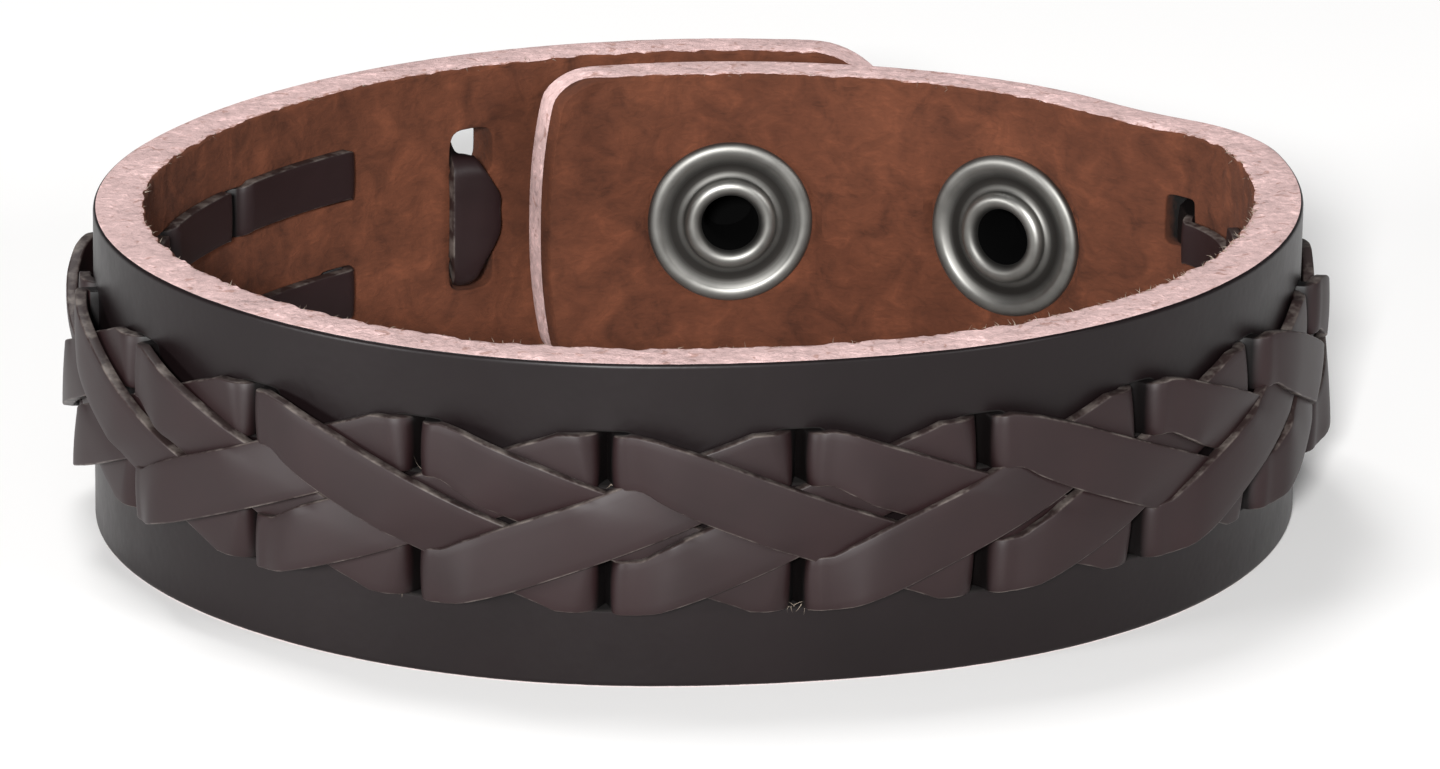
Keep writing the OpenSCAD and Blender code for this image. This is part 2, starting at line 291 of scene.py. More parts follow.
def add(tree, kind, inputs=None, stops=(), out=0, **choices):
    """Adds a shader node and gives back one of its outputs: choices are its own properties,
    inputs its sockets, linked or set, and stops the places and colours of a colour ramp. A mix
    of colours has its factor at socket 0, its colours at 6 and 7, and its result at 2."""
    node = tree.nodes.new("ShaderNode" + kind)
    for key, value in choices.items():
        setattr(node, key, value)
    for key, value in (inputs or {}).items():
        if isinstance(value, bpy.types.NodeSocket):
            tree.links.new(value, node.inputs[key])
        else:
            node.inputs[key].default_value = value
    for i, (place, shade) in enumerate(stops):
        stop = node.color_ramp.elements[i] if i < 2 else node.color_ramp.elements.new(place)
        stop.position, stop.color = place, shade
    return node.outputs[out] if node.outputs else None


def material(name, shader):
    """A new material. The shader function adds its nodes to a tree, and gives back the last."""
    made = bpy.data.materials.new(name)
    made.use_nodes = True
    made.node_tree.nodes.clear()
    add(made.node_tree, "OutputMaterial", {"Surface": shader(made.node_tree)})
    return made


def tinted(rgb, factor):
    """A setting's colour made darker or lighter."""
    return tuple(min(1.0, c * factor) for c in rgb) + (1.0,)


def scale_of(millimetres):
    """Scale of a pattern whose cells are that many millimetres across."""
    return 1 / (millimetres * MM)


def grain_leather(tree):
    """Full-grain cowhide, drum dyed near black brown and plated smooth under a wax finish: even
    and dark, with a broad soft sheen, and a fine pore pattern that barely shows."""
    rgb = settings("strap").grain
    where = add(tree, "TexCoord", out="Object")
    cloud = add(tree, "TexNoise", {"Vector": where, "Scale": scale_of(9), "Detail": 3.0})
    shade = add(tree, "ValToRGB", {"Fac": cloud}, (
        (0.3, tinted(rgb, 0.85)), (0.7, tinted(rgb, 1.15))))
    # pores of finished cowhide are 0.1 to 0.2 mm apart; drawn at 0.45 mm so that they show
    pores = add(tree, "TexVoronoi", {
        "Vector": where, "Scale": scale_of(0.45)}, feature="SMOOTH_F1")
    creases = add(tree, "TexNoise", {
        "Vector": where, "Scale": scale_of(1.6), "Detail": 4.0, "Roughness": 0.6})
    height = add(tree, "Math", {0: pores, 1: creases}, operation="ADD")
    bump = add(tree, "Bump", {"Height": height, "Strength": 0.12, "Distance": 0.06 * MM})
    gloss = add(tree, "MapRange", {"Value": creases, "To Min": 0.34, "To Max": 0.46})
    return add(tree, "BsdfPrincipled", {
        "Base Color": shade, "Roughness": gloss, "IOR": 1.31, "Normal": bump})


def flesh_leather(tree):
    """Raw flesh side of vegetable tanned hide: short matted fibres in soft tufts of two to three
    millimetres, lighter where they stand up and dark between them, with no gloss."""
    rgb = settings("strap").flesh
    place = add(tree, "Attribute", out="Vector", attribute_name="place")
    swirl = add(tree, "TexNoise", {"Vector": place, "Scale": scale_of(6), "Detail": 2.0})
    tufts = add(tree, "TexNoise", {
        "Vector": place, "Scale": scale_of(2.6), "Detail": 4.0, "Roughness": 0.58,
        "Distortion": 0.8})
    # the strands lie more along the strap than across it
    combed = add(tree, "VectorMath", {0: place, 1: (0.55, 1.3, 1.0)}, operation="MULTIPLY")
    # single fibres are under 0.05 mm thick; drawn as strands of 0.5 mm so that they show
    fibres = add(tree, "TexNoise", {
        "Vector": combed, "Scale": scale_of(0.5), "Detail": 3.0, "Roughness": 0.6,
        "Distortion": 1.2})
    both = add(tree, "Mix", {"Factor": 0.28, "A": tufts, "B": fibres})
    shade = add(tree, "ValToRGB", {"Fac": both}, (
        (0.30, tinted(rgb, 0.5)), (0.43, tinted(rgb, 0.82)), (0.56, tinted(rgb, 1.08)),
        (0.70, tinted(rgb, 1.5))))
    # broad swirls take about a fifth off the light
    broad = add(tree, "ValToRGB", {"Fac": swirl}, (
        (0.35, (0.80, 0.78, 0.77, 1)), (0.65, (1.0, 1.0, 1.0, 1))))
    mixed = add(tree, "Mix", {
        0: 1.0, 6: shade, 7: broad}, data_type="RGBA", blend_type="MULTIPLY", out=2)
    bump = add(tree, "Bump", {"Height": both, "Strength": 0.5, "Distance": 0.45 * MM})
    return add(tree, "BsdfPrincipled", {
        "Base Color": mixed, "Roughness": 0.95, "IOR": 1.35, "Normal": bump})


def rim_leather(tree):
    """Cut edge of the hide, left raw: pale pinkish fibres seen end on, in grains of half a
    millimetre, with brown flecks where the dye has soaked in, thickest beside the flesh side."""
    rgb = settings("strap").rim
    where = add(tree, "TexCoord", out="Object")
    place = add(tree, "Attribute", out="Vector", attribute_name="place")
    grains = add(tree, "TexNoise", {
        "Vector": where, "Scale": scale_of(0.5), "Detail": 4.0, "Roughness": 0.7,
        "Distortion": 0.4})
    soft = add(tree, "TexNoise", {"Vector": where, "Scale": scale_of(2.4), "Detail": 3.0})
    both = add(tree, "Mix", {"Factor": 0.4, "A": grains, "B": soft})
    shade = add(tree, "ValToRGB", {"Fac": both}, (
        (0.30, tinted(rgb, 0.55)), (0.44, tinted(rgb, 0.88)), (0.55, tinted(rgb, 1.04)),
        (0.68, tinted(rgb, 1.6))))
    # the brown of the flesh side runs into the last half millimetre of the cut, raggedly
    deep = add(tree, "SeparateXYZ", {0: place}, out="Z")
    ragged = add(tree, "Math", {0: grains, 1: 1.6 * MM, 2: deep}, operation="MULTIPLY_ADD")
    stain_and_shade = add(tree, "MapRange", {
        "Value": ragged, "From Min": -1.95 * MM, "From Max": -2.15 * MM, "To Min": 0.0,
        "To Max": 0.75})
    flecks = add(tree, "TexNoise", {
        "Vector": where, "Scale": scale_of(0.8), "Detail": 2.0, "Distortion": 1.0})
    spots = add(tree, "MapRange", {
        "Value": flecks, "From Min": 0.61, "From Max": 0.69, "To Min": 0.0, "To Max": 0.5})
    brown = add(tree, "Math", {0: stain_and_shade, 1: spots}, operation="MAXIMUM")
    mixed = add(tree, "Mix", {0: brown, 6: shade, 7: linear("#8E5F4C")}, data_type="RGBA", out=2)
    bump = add(tree, "Bump", {"Height": both, "Strength": 0.7, "Distance": 0.25 * MM})
    return add(tree, "BsdfPrincipled", {
        "Base Color": mixed, "Roughness": 0.9, "IOR": 1.4, "Normal": bump})


def loose_fibre(tree):
    """Loose fibres of the hide, undyed: pale straw grey, with no gloss."""
    return add(tree, "BsdfPrincipled", {
        "Base Color": linear("#84786C"), "Roughness": 0.9, "IOR": 1.4})


def slot_wall(tree):
    """Wall of a punched slot: the same fibres, brown beside the flesh side, and painted nearly
    black towards the grain side as painted shade inside the slot."""
    where = add(tree, "TexCoord", out="Object")
    place = add(tree, "Attribute", out="Vector", attribute_name="place")
    grains = add(tree, "TexNoise", {"Vector": where, "Scale": scale_of(0.5)})
    deep = add(tree, "SeparateXYZ", {0: place}, out="Z")
    ragged = add(tree, "Math", {0: grains, 1: 1.2 * MM, 2: deep}, operation="MULTIPLY_ADD")
    stain_and_shade = add(tree, "MapRange", {"Value": ragged, "From Min": -2.1 * MM, "From Max": -1.1 * MM})
    # painted shade: the wall darkens to near black towards the grain side
    shade = add(tree, "Mix", {
        0: stain_and_shade, 6: tinted(settings("strap").flesh, 0.8), 7: linear("#0B0605")}, data_type="RGBA",
        out=2)
    return add(tree, "BsdfPrincipled", {"Base Color": shade, "Roughness": 0.9, "IOR": 1.4})


def lace_leather(tree):
    """Thin calf lace, dyed purplish brown and calendered: smooth and flat with a satin gloss.
    Along both cut edges it is painted paler in fine broken lines: partly the raw cut edge, and
    partly a painted highlight where the edges catch the light. Inside the slots, where the third
    number of its place is one, it is painted nearly black as painted shade."""
    rgb = settings("lace").dye
    place = add(tree, "Attribute", out="Vector", attribute_name="place")
    where = add(tree, "TexCoord", out="Object")
    cloud = add(tree, "TexNoise", {"Vector": where, "Scale": scale_of(4), "Detail": 2.0})
    shade = add(tree, "ValToRGB", {"Fac": cloud}, (
        (0.3, tinted(rgb, 0.88)), (0.7, tinted(rgb, 1.12))))
    half = settings("lace").width / 2
    across = add(tree, "SeparateXYZ", {0: place}, out="Y")
    upright = add(tree, "SeparateXYZ", {0: place}, out="Z")
    off_middle = add(tree, "Math", {0: across}, operation="ABSOLUTE")
    # partly painted highlight: both cut edges are painted paler in broken lines, for the raw edge
    # and for the light that the edges catch
    at_edge = add(tree, "MapRange", {
        "Value": off_middle, "From Min": half - 0.11 * MM, "From Max": half - 0.03 * MM})
    broken = add(tree, "TexNoise", {
        "Vector": where, "Scale": scale_of(1.3), "Detail": 3.0, "Roughness": 0.65})
    thin = add(tree, "MapRange", {
        "Value": broken, "From Min": 0.45, "From Max": 0.66, "To Min": 0.1, "To Max": 0.85})
    pale = add(tree, "Math", {0: at_edge, 1: thin}, operation="MULTIPLY")
    edge_dye_and_highlight = add(tree, "Mix", {0: pale, 6: shade, 7: linear("#655D58")}, data_type="RGBA", out=2)
    # painted shade: where the lace stands upright in a slot it is painted nearly black
    mixed = add(tree, "Mix", {0: upright, 6: edge_dye_and_highlight, 7: linear("#060303")}, data_type="RGBA", out=2)
    # the rollers that smooth the lace leave fine lines along it
    drawn = add(tree, "VectorMath", {0: place, 1: (0.12, 1.0, 0.0)}, operation="MULTIPLY")
    fine = add(tree, "TexNoise", {"Vector": drawn, "Scale": scale_of(0.5), "Detail": 3.0})
    bump = add(tree, "Bump", {"Height": fine, "Strength": 0.1, "Distance": 0.05 * MM})
    gloss = add(tree, "MapRange", {"Value": cloud, "To Min": 0.46, "To Max": 0.56})
    return add(tree, "BsdfPrincipled", {
        "Base Color": mixed, "Roughness": gloss, "IOR": 1.35, "Coat Weight": 0.05,
        "Coat Roughness": 0.4, "Normal": bump})


def snap_metal(tree):
    """Stamped brass with a nickel plate, antiqued: bright grey where it is rubbed, and dark with
    tarnish in the grooves, which the third number of each point's place marks."""
    rgb = settings("snap").metal
    where = add(tree, "TexCoord", out="Object")
    place = add(tree, "Attribute", out="Vector", attribute_name="place")
    cloud = add(tree, "TexNoise", {"Vector": where, "Scale": scale_of(1.4), "Detail": 3.0})
    shade = add(tree, "ValToRGB", {"Fac": cloud}, (
        (0.3, tinted(rgb, 0.85)), (0.7, tinted(rgb, 1.08))))
    groove = add(tree, "SeparateXYZ", {0: place}, out="Z")
    mixed = add(tree, "Mix", {0: groove, 6: shade, 7: linear("#302E2C")}, data_type="RGBA", out=2)
    gloss = add(tree, "MapRange", {"Value": cloud, "To Min": 0.40, "To Max": 0.50})
    duller = add(tree, "Math", {0: groove, 1: 0.2, 2: gloss}, operation="MULTIPLY_ADD")
    return add(tree, "BsdfPrincipled", {"Base Color": mixed, "Metallic": 1.0, "Roughness": duller})


def dark_bore(tree):
    """Inside of a stud and of an eyelet's tube: painted near black and dull, as painted shade deep
    in the bore."""
    return add(tree, "BsdfPrincipled", {
        "Base Color": linear("#030303"), "Roughness": 0.9, "IOR": 1.15})


def studio_floor(tree):
    """Matt painted studio table: even and pale, with hardly any gloss."""
    return add(tree, "BsdfPrincipled", {
        "Base Color": tuple(settings("studio").floor) + (1.0,), "Roughness": 0.9, "IOR": 1.3})


# Strap

# finishes of the strap, as places in its list of materials
GRAIN, FLESH, RIM, WALL = 0, 1, 2, 3
# power of the curve round an opening: a slot as it was punched, one that is worn, and a circle
CRISP, WORN, ROUND = 7, 4, 2
# widest spacing of the grid lines across and along the strap
ROW_STEP, COLUMN_STEP = 0.42, 0.5


def superellipse(angle, a, b, power):
    """Radius at an angle of the curve |x/a|^power + |y/b|^power = 1."""
    x, y = np.abs(np.cos(angle) / a), np.abs(np.sin(angle) / b)
    return (x ** power + y ** power) ** (-1 / power)


def strap_shell(plan):
    """The strap in (s, z, out). Both faces are one grid of lines across and along the strap, bent
    to the outline of the two ends. A block of cells round each slot or hole is replaced by a
    collar between the block's edge and the hole, and walls join the two faces."""
    half = mm("strap", "width") / 2
    thick = mm("strap", "thickness")
    edge = mm("strap", "edge")
    inner = half - edge
    rows_at = mm("strap", "braid_rise") + np.array([-1, 1]) * mm("strap", "row_offset")
    slots = mm("strap", "slot_first") + np.arange(settings("strap").slot_count) * mm(
        "strap", "slot_pitch")
    slot_half = mm("strap", "slot_width") / 2, mm("strap", "slot_height") / 2
    # each opening: its place, half sizes, power, half sizes of its block of cells, and lining
    slot_block, bore, bore_block, post, post_block = ((r, r) for r in (2.0, 1.98, 2.8, 3.2, 4.1))
    openings = [(s, z, slot_half, CRISP, slot_block, WALL) for s in slots[1:] for z in rows_at]
    # the band of lace has drawn the first pair a little aside and worn them a little wider; their
    # walls keep the flesh side's brown, without the painted shade of the other slot walls
    drawn, worn_out = 0.3, 0.1
    openings += [(slots[0] - drawn, z, (slot_half[0] + worn_out, slot_half[1]), WORN, slot_block,
                  FLESH) for z in rows_at]
    for name, rise in (("fastened_at", 0), ("spare_at", mm("snap", "spare_rise"))):
        openings.append((mm("snap", name), rise, bore, ROUND, bore_block, WALL))
    openings.append((float(plan.covering(mm("snap", "fastened_at"))), 0, post, ROUND, post_block,
                     WALL))

    # grid lines along the strap: heights z from its middle, closer together near both edges
    marks = [z + side * block[1] for _, z, _, _, block, _ in openings for side in (-1, 1)]
    close_by = 3.2
    corner = inner - close_by * (1 - np.sin(np.linspace(0, np.pi / 2, 13)))
    heights = np.unique(np.round(np.concatenate(
        [lines(marks + [-corner[0], corner[0]], ROW_STEP), corner, -corner]), 6))

    # outline of the two ends, drawn in by the rounding of the edge
    def outer_end(z):
        """Distance along the strap at height z: a circle at each corner, straight between."""
        r = mm("strap", "outer_corner")
        past = np.clip(np.abs(z) - (half - r), 0, r - edge)
        return r - np.sqrt((r - edge) ** 2 - past ** 2)

    def inner_end(z):
        """The same at the inner end, from the smooth minimum of the bow and the corners' circles:
        their sum, less the root of their difference squared plus blend squared, halved."""
        r, bow = mm("strap", "inner_corner"), mm("strap", "inner_bow")
        past = np.clip(np.abs(z) - (half - r), 0, r - edge)
        corner_s = np.sqrt((r - edge) ** 2 - past ** 2)
        bow_s = np.sqrt((bow - edge) ** 2 - z ** 2) - (bow - r)
        gap = bow_s - corner_s
        blend = 0.15
        return plan.length - r + (bow_s + corner_s - np.sqrt(gap ** 2 + blend ** 2)) / 2 + (
            blend / 2)

    # grid lines across the strap: straight in the middle, and bent to the outline in a zone at
    # each end, where they crowd towards it
    zone, crowded = 7.0, 1.3
    middle = lines([zone, plan.length - zone] + [
        s + side * block[0] for s, _, _, _, block, _ in openings for side in (-1, 1)], COLUMN_STEP)
    share = np.linspace(0, 1, 15)[:-1] ** crowded
    start, end = outer_end(heights)[:, None], inner_end(heights)[:, None]
    columns = np.concatenate([
        start + (zone - start) * share, np.tile(middle, (len(heights), 1)),
        (end + (plan.length - zone - end) * share)[:, ::-1]], 1)
    rows = np.tile(heights[:, None], (1, columns.shape[1]))

    # cells that the openings take out of the grid, and the collars that take their place
    shell = Shell()
    keep = np.ones((len(heights) - 1, columns.shape[1] - 1), bool)
    loops = []
    column_s = columns[len(heights) // 2]
    for s, z, hole, power, block, lining in openings:
        i0, i1 = (int(np.abs(heights - z - side * block[1]).argmin()) for side in (-1, 1))
        j0, j1 = (int(np.abs(column_s - s - side * block[0]).argmin()) for side in (-1, 1))
        keep[i0:i1, j0:j1] = False
        js, zs = np.arange(j0, j1), np.arange(i0, i1)
        loop = np.concatenate([
            np.stack([column_s[js], np.full(len(js), heights[i0])], 1),
            np.stack([np.full(len(zs), column_s[j1]), heights[zs]], 1),
            np.stack([column_s[js[::-1] + 1], np.full(len(js), heights[i1])], 1),
            np.stack([np.full(len(zs), column_s[j0]), heights[zs[::-1] + 1]], 1)])
        loops.append((loop, np.array([s, z]), hole, power, lining))

    mouth = 0.14
    turn = np.linspace(0, np.pi / 2, 4)
    for out, finish in ((0.0, GRAIN), (-thick, FLESH)):
        shell.add(np.stack([columns, rows, np.full_like(rows, out)], -1), finish, keep)
    for loop, middle_of, hole, power, lining in loops:
        away = loop - middle_of
        angle = np.arctan2(away[:, 1], away[:, 0])
        way = away / np.linalg.norm(away, axis=1, keepdims=True)
        rim = middle_of + way * superellipse(angle, *hole, power)[:, None]
        wide = middle_of + way * (superellipse(angle, *hole, power) + mouth)[:, None]
        for out, into, finish in ((0.0, -1, GRAIN), (-thick, 1, FLESH)):
            part = np.linspace(0, 1, 5)[:, None, None]
            flat = loop * (1 - part) + wide * part
            shell.add(np.concatenate([flat, np.full(flat.shape[:2] + (1,), out)], -1), finish,
                      around=True)
            lip = rim + (wide - rim) * (1 - np.sin(turn))[:, None, None]
            deep = out + into * mouth * (1 - np.cos(turn))[:, None] * np.ones(len(loop))
            # on the grain side the lips of the slots take the slot wall's painted shade
            of_slot = finish == GRAIN and power > ROUND
            shell.add(np.concatenate([lip, deep[..., None]], -1), WALL if of_slot else finish,
                      around=True)
        depth = np.linspace(-mouth, mouth - thick, 5)[:, None] * np.ones(len(loop))
        wall = np.tile(rim, (5, 1, 1))
        shell.add(np.concatenate([wall, depth[..., None]], -1), lining, around=True)

    # rounded edge and cut rim, carried round the outline of the grid
    outline = np.concatenate([
        np.stack([columns[0, :-1], rows[0, :-1]], 1),
        np.stack([columns[:-1, -1], rows[:-1, -1]], 1),
        np.stack([columns[-1, :0:-1], rows[-1, :0:-1]], 1),
        np.stack([columns[:0:-1, 0], rows[:0:-1, 0]], 1)])
    ahead = np.roll(outline, -1, 0) - outline
    ahead /= np.linalg.norm(ahead, axis=1, keepdims=True)
    along = ahead + np.roll(ahead, 1, 0)
    along /= np.linalg.norm(along, axis=1, keepdims=True)
    outward = np.stack([along[:, 1], -along[:, 0]], 1)
    turn = np.linspace(0, np.pi / 2, 6)
    belly = np.linspace(0, 1, 9)[1:-1]
    shrink = 0.87
    reach = edge * np.concatenate([shrink * np.sin(turn), shrink + (1 - shrink) * np.sin(
        np.pi * belly), shrink * np.cos(turn)])
    # depths that the edges are rounded by. The flesh side of the inner end is worn round further
    # than the rest, over its last few millimetres
    grain_depth, flesh_depth, more, worn_from, worn_over = 0.22, 0.18, 1.3, 5, 3
    worn = flesh_depth + more * eased((outline[:, 0] - plan.length + worn_from) / worn_over)[None]
    grain_edge = -grain_depth * (1 - np.cos(turn))[:, None] + 0 * worn
    flesh_edge = -thick + worn * (1 - np.sin(turn))[:, None]
    between = grain_edge[-1:] + (flesh_edge[:1] - grain_edge[-1:]) * belly[:, None]
    deep = np.concatenate([grain_edge, between, flesh_edge])
    path = outline[None] + outward[None] * reach[:, None, None]
    band = np.concatenate([path, deep[..., None]], -1)
    # the finishes meet within the two rounded edges, at rows 4 and 14 of the band
    for first, last, finish in ((0, 5, GRAIN), (4, 15, RIM), (14, len(reach), FLESH)):
        shell.add(band[first:last], finish, around=True)
    return shell


def pressed(plan, place, s, rise, r, height, face):
    """How far the leather moves out under a flat ring of radius r at distance s: until its face
    lies at that height along the ring's axis, and back to its own curve over the fade beside."""
    fade = 0.6
    _, heading = plan.heading_at(np.array(s))
    _, there = plan.heading_at(place[:, 0])
    axis = np.append(-left_of(heading), 0.0)
    skin = np.stack([place[:, 0], place[:, 1], np.full(len(place), float(face))], 1)
    away = (plan.bend(skin) - plan.bend(np.array([s, rise, 0.0]))) / MM
    level = away @ axis
    aside = np.linalg.norm(away - level[:, None] * axis, axis=1)
    near = np.abs(place[:, 0] - s) < r + 2
    return near * (1 - eased((aside - r) / fade)) * (height - level) / np.cos(there - heading)


def make_strap(plan):
    """The strap in the row frame, pressed flat under the flanges and studs. Its cut rim and flesh
    side are roughened by a few hundredths of a millimetre: the rim up and down, the flesh side
    in and out, and the line where they meet both ways."""
    # depth over which the roughness fades in, and radius round the snap that it keeps clear of;
    # then heights of the flesh side's lumps, of the ragged line where rim and flesh meet, and of
    # the chips in the rim and at that line
    fade, clear = 0.5, 5.0
    lump, ragged_height, chip, chip_more = 0.05, 0.07, 0.035, 0.03
    place, faces, finish = strap_shell(plan).welded()
    thick, half = mm("strap", "thickness"), mm("strap", "width") / 2
    deep = np.clip(-place[:, 2] / thick, 0, 1)
    inside = eased((-place[:, 2] - thick + fade) / fade)
    at_rim = eased((np.abs(place[:, 1]) - half + 0.35) / 0.3)
    # broad lumps that run through the thickness, and finer ones over them
    lumps = rough(place * (1, 1, 0.2), 1.9, 3) * 0.6 + rough(place, 0.9, 5) * 0.4
    moved = place.copy()
    free = inside * (1 - at_rim)
    for s, rise in ((mm("snap", "fastened_at"), 0.0),
                    (mm("snap", "spare_at"), mm("snap", "spare_rise"))):
        moved[:, 2] += deep * pressed(plan, place, s, rise, mm("snap", "eyelet") / 2, -thick,
                                      -thick)
        moved[:, 2] += (1 - deep) * pressed(plan, place, s, rise, mm("snap", "base") / 2, -0.1, 0)
        free *= eased((np.hypot(place[:, 0] - s, place[:, 1] - rise) - clear) / fade)
    moved[:, 2] += free * lump * lumps
    ragged = inside * at_rim
    moved[:, 2] += ragged * ragged_height * rough(place, 1.1, 13)
    chips = np.clip(rough(place, 0.9, 9), -1.8, 0.2) * eased(-place[:, 2] / fade)
    moved[:, 1] += at_rim * (chip + chip_more * ragged) * chips * np.sign(place[:, 1])
    moved[:, 1] += half
    return make_object("strap_leather", plan.bend(moved), faces, finish,
                       [material("cowhide_grain", grain_leather),
                        material("cowhide_flesh", flesh_leather),
                        material("cowhide_cut_edge", rim_leather),
                        material("cowhide_slot_wall", slot_wall)], 35, place * MM)


def make_fibres(plan):
    """Loose fibres along the inner edge of the cut rim and at a few slot corners: thin tapered
    tubes with three sides. Each follows root + length * (t * way + t^2 * curl), and its radius
    falls evenly to nothing at the tip."""
    rng = np.random.default_rng(21)
    thick, half = mm("strap", "thickness"), mm("strap", "width") / 2
    # along the rim, a third of them on the right part of it, and four at each slot corner
    count, at_corner = 520, 4
    s = rng.uniform(22, 228, count)
    s = np.where(rng.random(count) < 0.35, rng.uniform(138, 172, count), s)
    root = np.stack([s, half - rng.uniform(0.0, 0.35, count),
                     -thick + rng.uniform(0.05, 0.5, count)], 1)
    way = np.stack([rng.normal(0, 0.6, count), rng.uniform(0.0, 0.6, count),
                    rng.uniform(-1.0, -0.2, count)], 1)
    length = rng.uniform(0.12, 0.42, count)
    # slot corners, as slot number, side along the strap, and height from the braid's middle
    corners = np.array([(7, -0.9, -5.1), (7, 0.6, 2.1), (8, 0.9, 2.1), (8, 0.2, 2.15),
                        (9, -0.3, -5.2), (9, 0.4, -5.1), (11, 1.0, -5.2), (5, -0.7, -5.2)])
    slot_s = mm("strap", "slot_first") + corners[:, 0] * mm("strap", "slot_pitch")
    tuft = np.repeat(np.stack([slot_s + corners[:, 1], corners[:, 2] + mm("strap", "braid_rise"),
                               np.full(len(corners), -0.1)], 1), at_corner, 0)
    tuft[:, 0] += rng.normal(0, 0.15, len(tuft))
    tuft_way = np.stack([rng.normal(0, 0.8, len(tuft)), rng.normal(0, 0.6, len(tuft)),
                         rng.uniform(0.5, 1.0, len(tuft))], 1)
    root, way = np.concatenate([root, tuft]), np.concatenate([way, tuft_way])
    length = np.concatenate([length, rng.uniform(0.3, 0.75, len(tuft))])
    way /= np.linalg.norm(way, axis=1, keepdims=True)
    curl = np.cross(way, rng.normal(size=way.shape)) * rng.uniform(0.2, 0.7, len(way))[:, None]
    t = np.linspace(0, 1, 5)[None, :, None]
    line = root[:, None] + length[:, None, None] * (t * way[:, None] + t * t * curl[:, None])
    side = np.cross(way, (0.3, 0.2, 1.0))
    side /= np.linalg.norm(side, axis=1, keepdims=True)
    other = np.cross(way, side)
    turn = np.linspace(0, 2 * np.pi, 4)[:-1][None, None, :, None]
    round_it = np.cos(turn) * side[:, None, None] + np.sin(turn) * other[:, None, None]
    radius = rng.uniform(0.02, 0.045, len(way))[:, None, None, None] * (1 - t[..., None])
    grid = line[:, :, None] + radius * round_it
    rings, sides = grid.shape[1:3]
    cells = quads(rings, sides, True).reshape(-1, 4)
    # the first ring is closed by one triangle, and the last one shrinks to a point
    foot = np.array([[0, 2, 1, 1]])
    block = np.concatenate([cells, foot])
    faces = (block + (np.arange(len(way)) * rings * sides)[:, None, None]).reshape(-1, 4)
    tip = faces % (rings * sides) >= (rings - 1) * sides
    faces = np.where(tip, faces // sides * sides, faces)
    faces = faces[(faces != np.roll(faces, -1, 1)).sum(1) >= 3]
    used, faces = np.unique(faces, return_inverse=True)
    place = grid.reshape(-1, 3)[used]
    faces = faces.reshape(-1, 4)
    return make_object("strap_fibres", plan.bend(place + (0, half, 0)), faces,
                       np.zeros(len(faces)), [material("cowhide_fibre", loose_fibre)], 60)


# Lace

# thickness of the lace along its edges, as a share of that in its middle; the places of the dips
# of its two halves, in pitches from the slot; how upright it is where the painted shade in the
# slots starts, and by how much more it is painted fully black
THIN_EDGE = 0.84
LATE_DIP, EARLY_DIP = 1.25, 0.75
SLOT_SHADE_FROM, SLOT_SHADE_OVER = 0.6, 0.35


def section(half_w, half_t, r):
    """Outline of the lace, across and through: flat faces with a slight crown, and corners
    rounded by r. It starts and ends at the right edge and is the same above and below."""
    turn = np.linspace(0, np.pi / 2, 4)
    flat = np.linspace(half_w - r, r - half_w, 8)[1:-1]
    x = np.concatenate([half_w - r + r * np.cos(turn), flat, r - half_w - r * np.sin(turn)])
    y = np.concatenate([half_t - r + r * np.sin(turn), np.full(len(flat), half_t),
                        half_t - r + r * np.cos(turn)])
    y *= THIN_EDGE + (1 - THIN_EDGE) * (1 - (x / half_w) ** 2)
    return np.concatenate([np.stack([x, y], 1), np.stack([x[::-1], -y[::-1]], 1)])


def through_keys(keys, values, at):
    """Smooth curve through the keys: a cubic between each two, whose slope at a key is that of
    the line between the keys beside it."""
    keys, values = np.array(keys, float), np.array(values, float)
    slope = np.gradient(values, keys, axis=0)
    i = np.clip(np.searchsorted(keys, at, "right") - 1, 0, len(keys) - 2)
    step = keys[i + 1] - keys[i]
    t = (at - keys[i]) / step
    t, step = t[:, None], step[:, None]
    blend = 3 * t ** 2 - 2 * t ** 3
    return ((1 - blend) * values[i] + (t ** 3 - 2 * t ** 2 + t) * step * slope[i] +
            blend * values[i + 1] + (t ** 3 - t ** 2) * step * slope[i + 1])


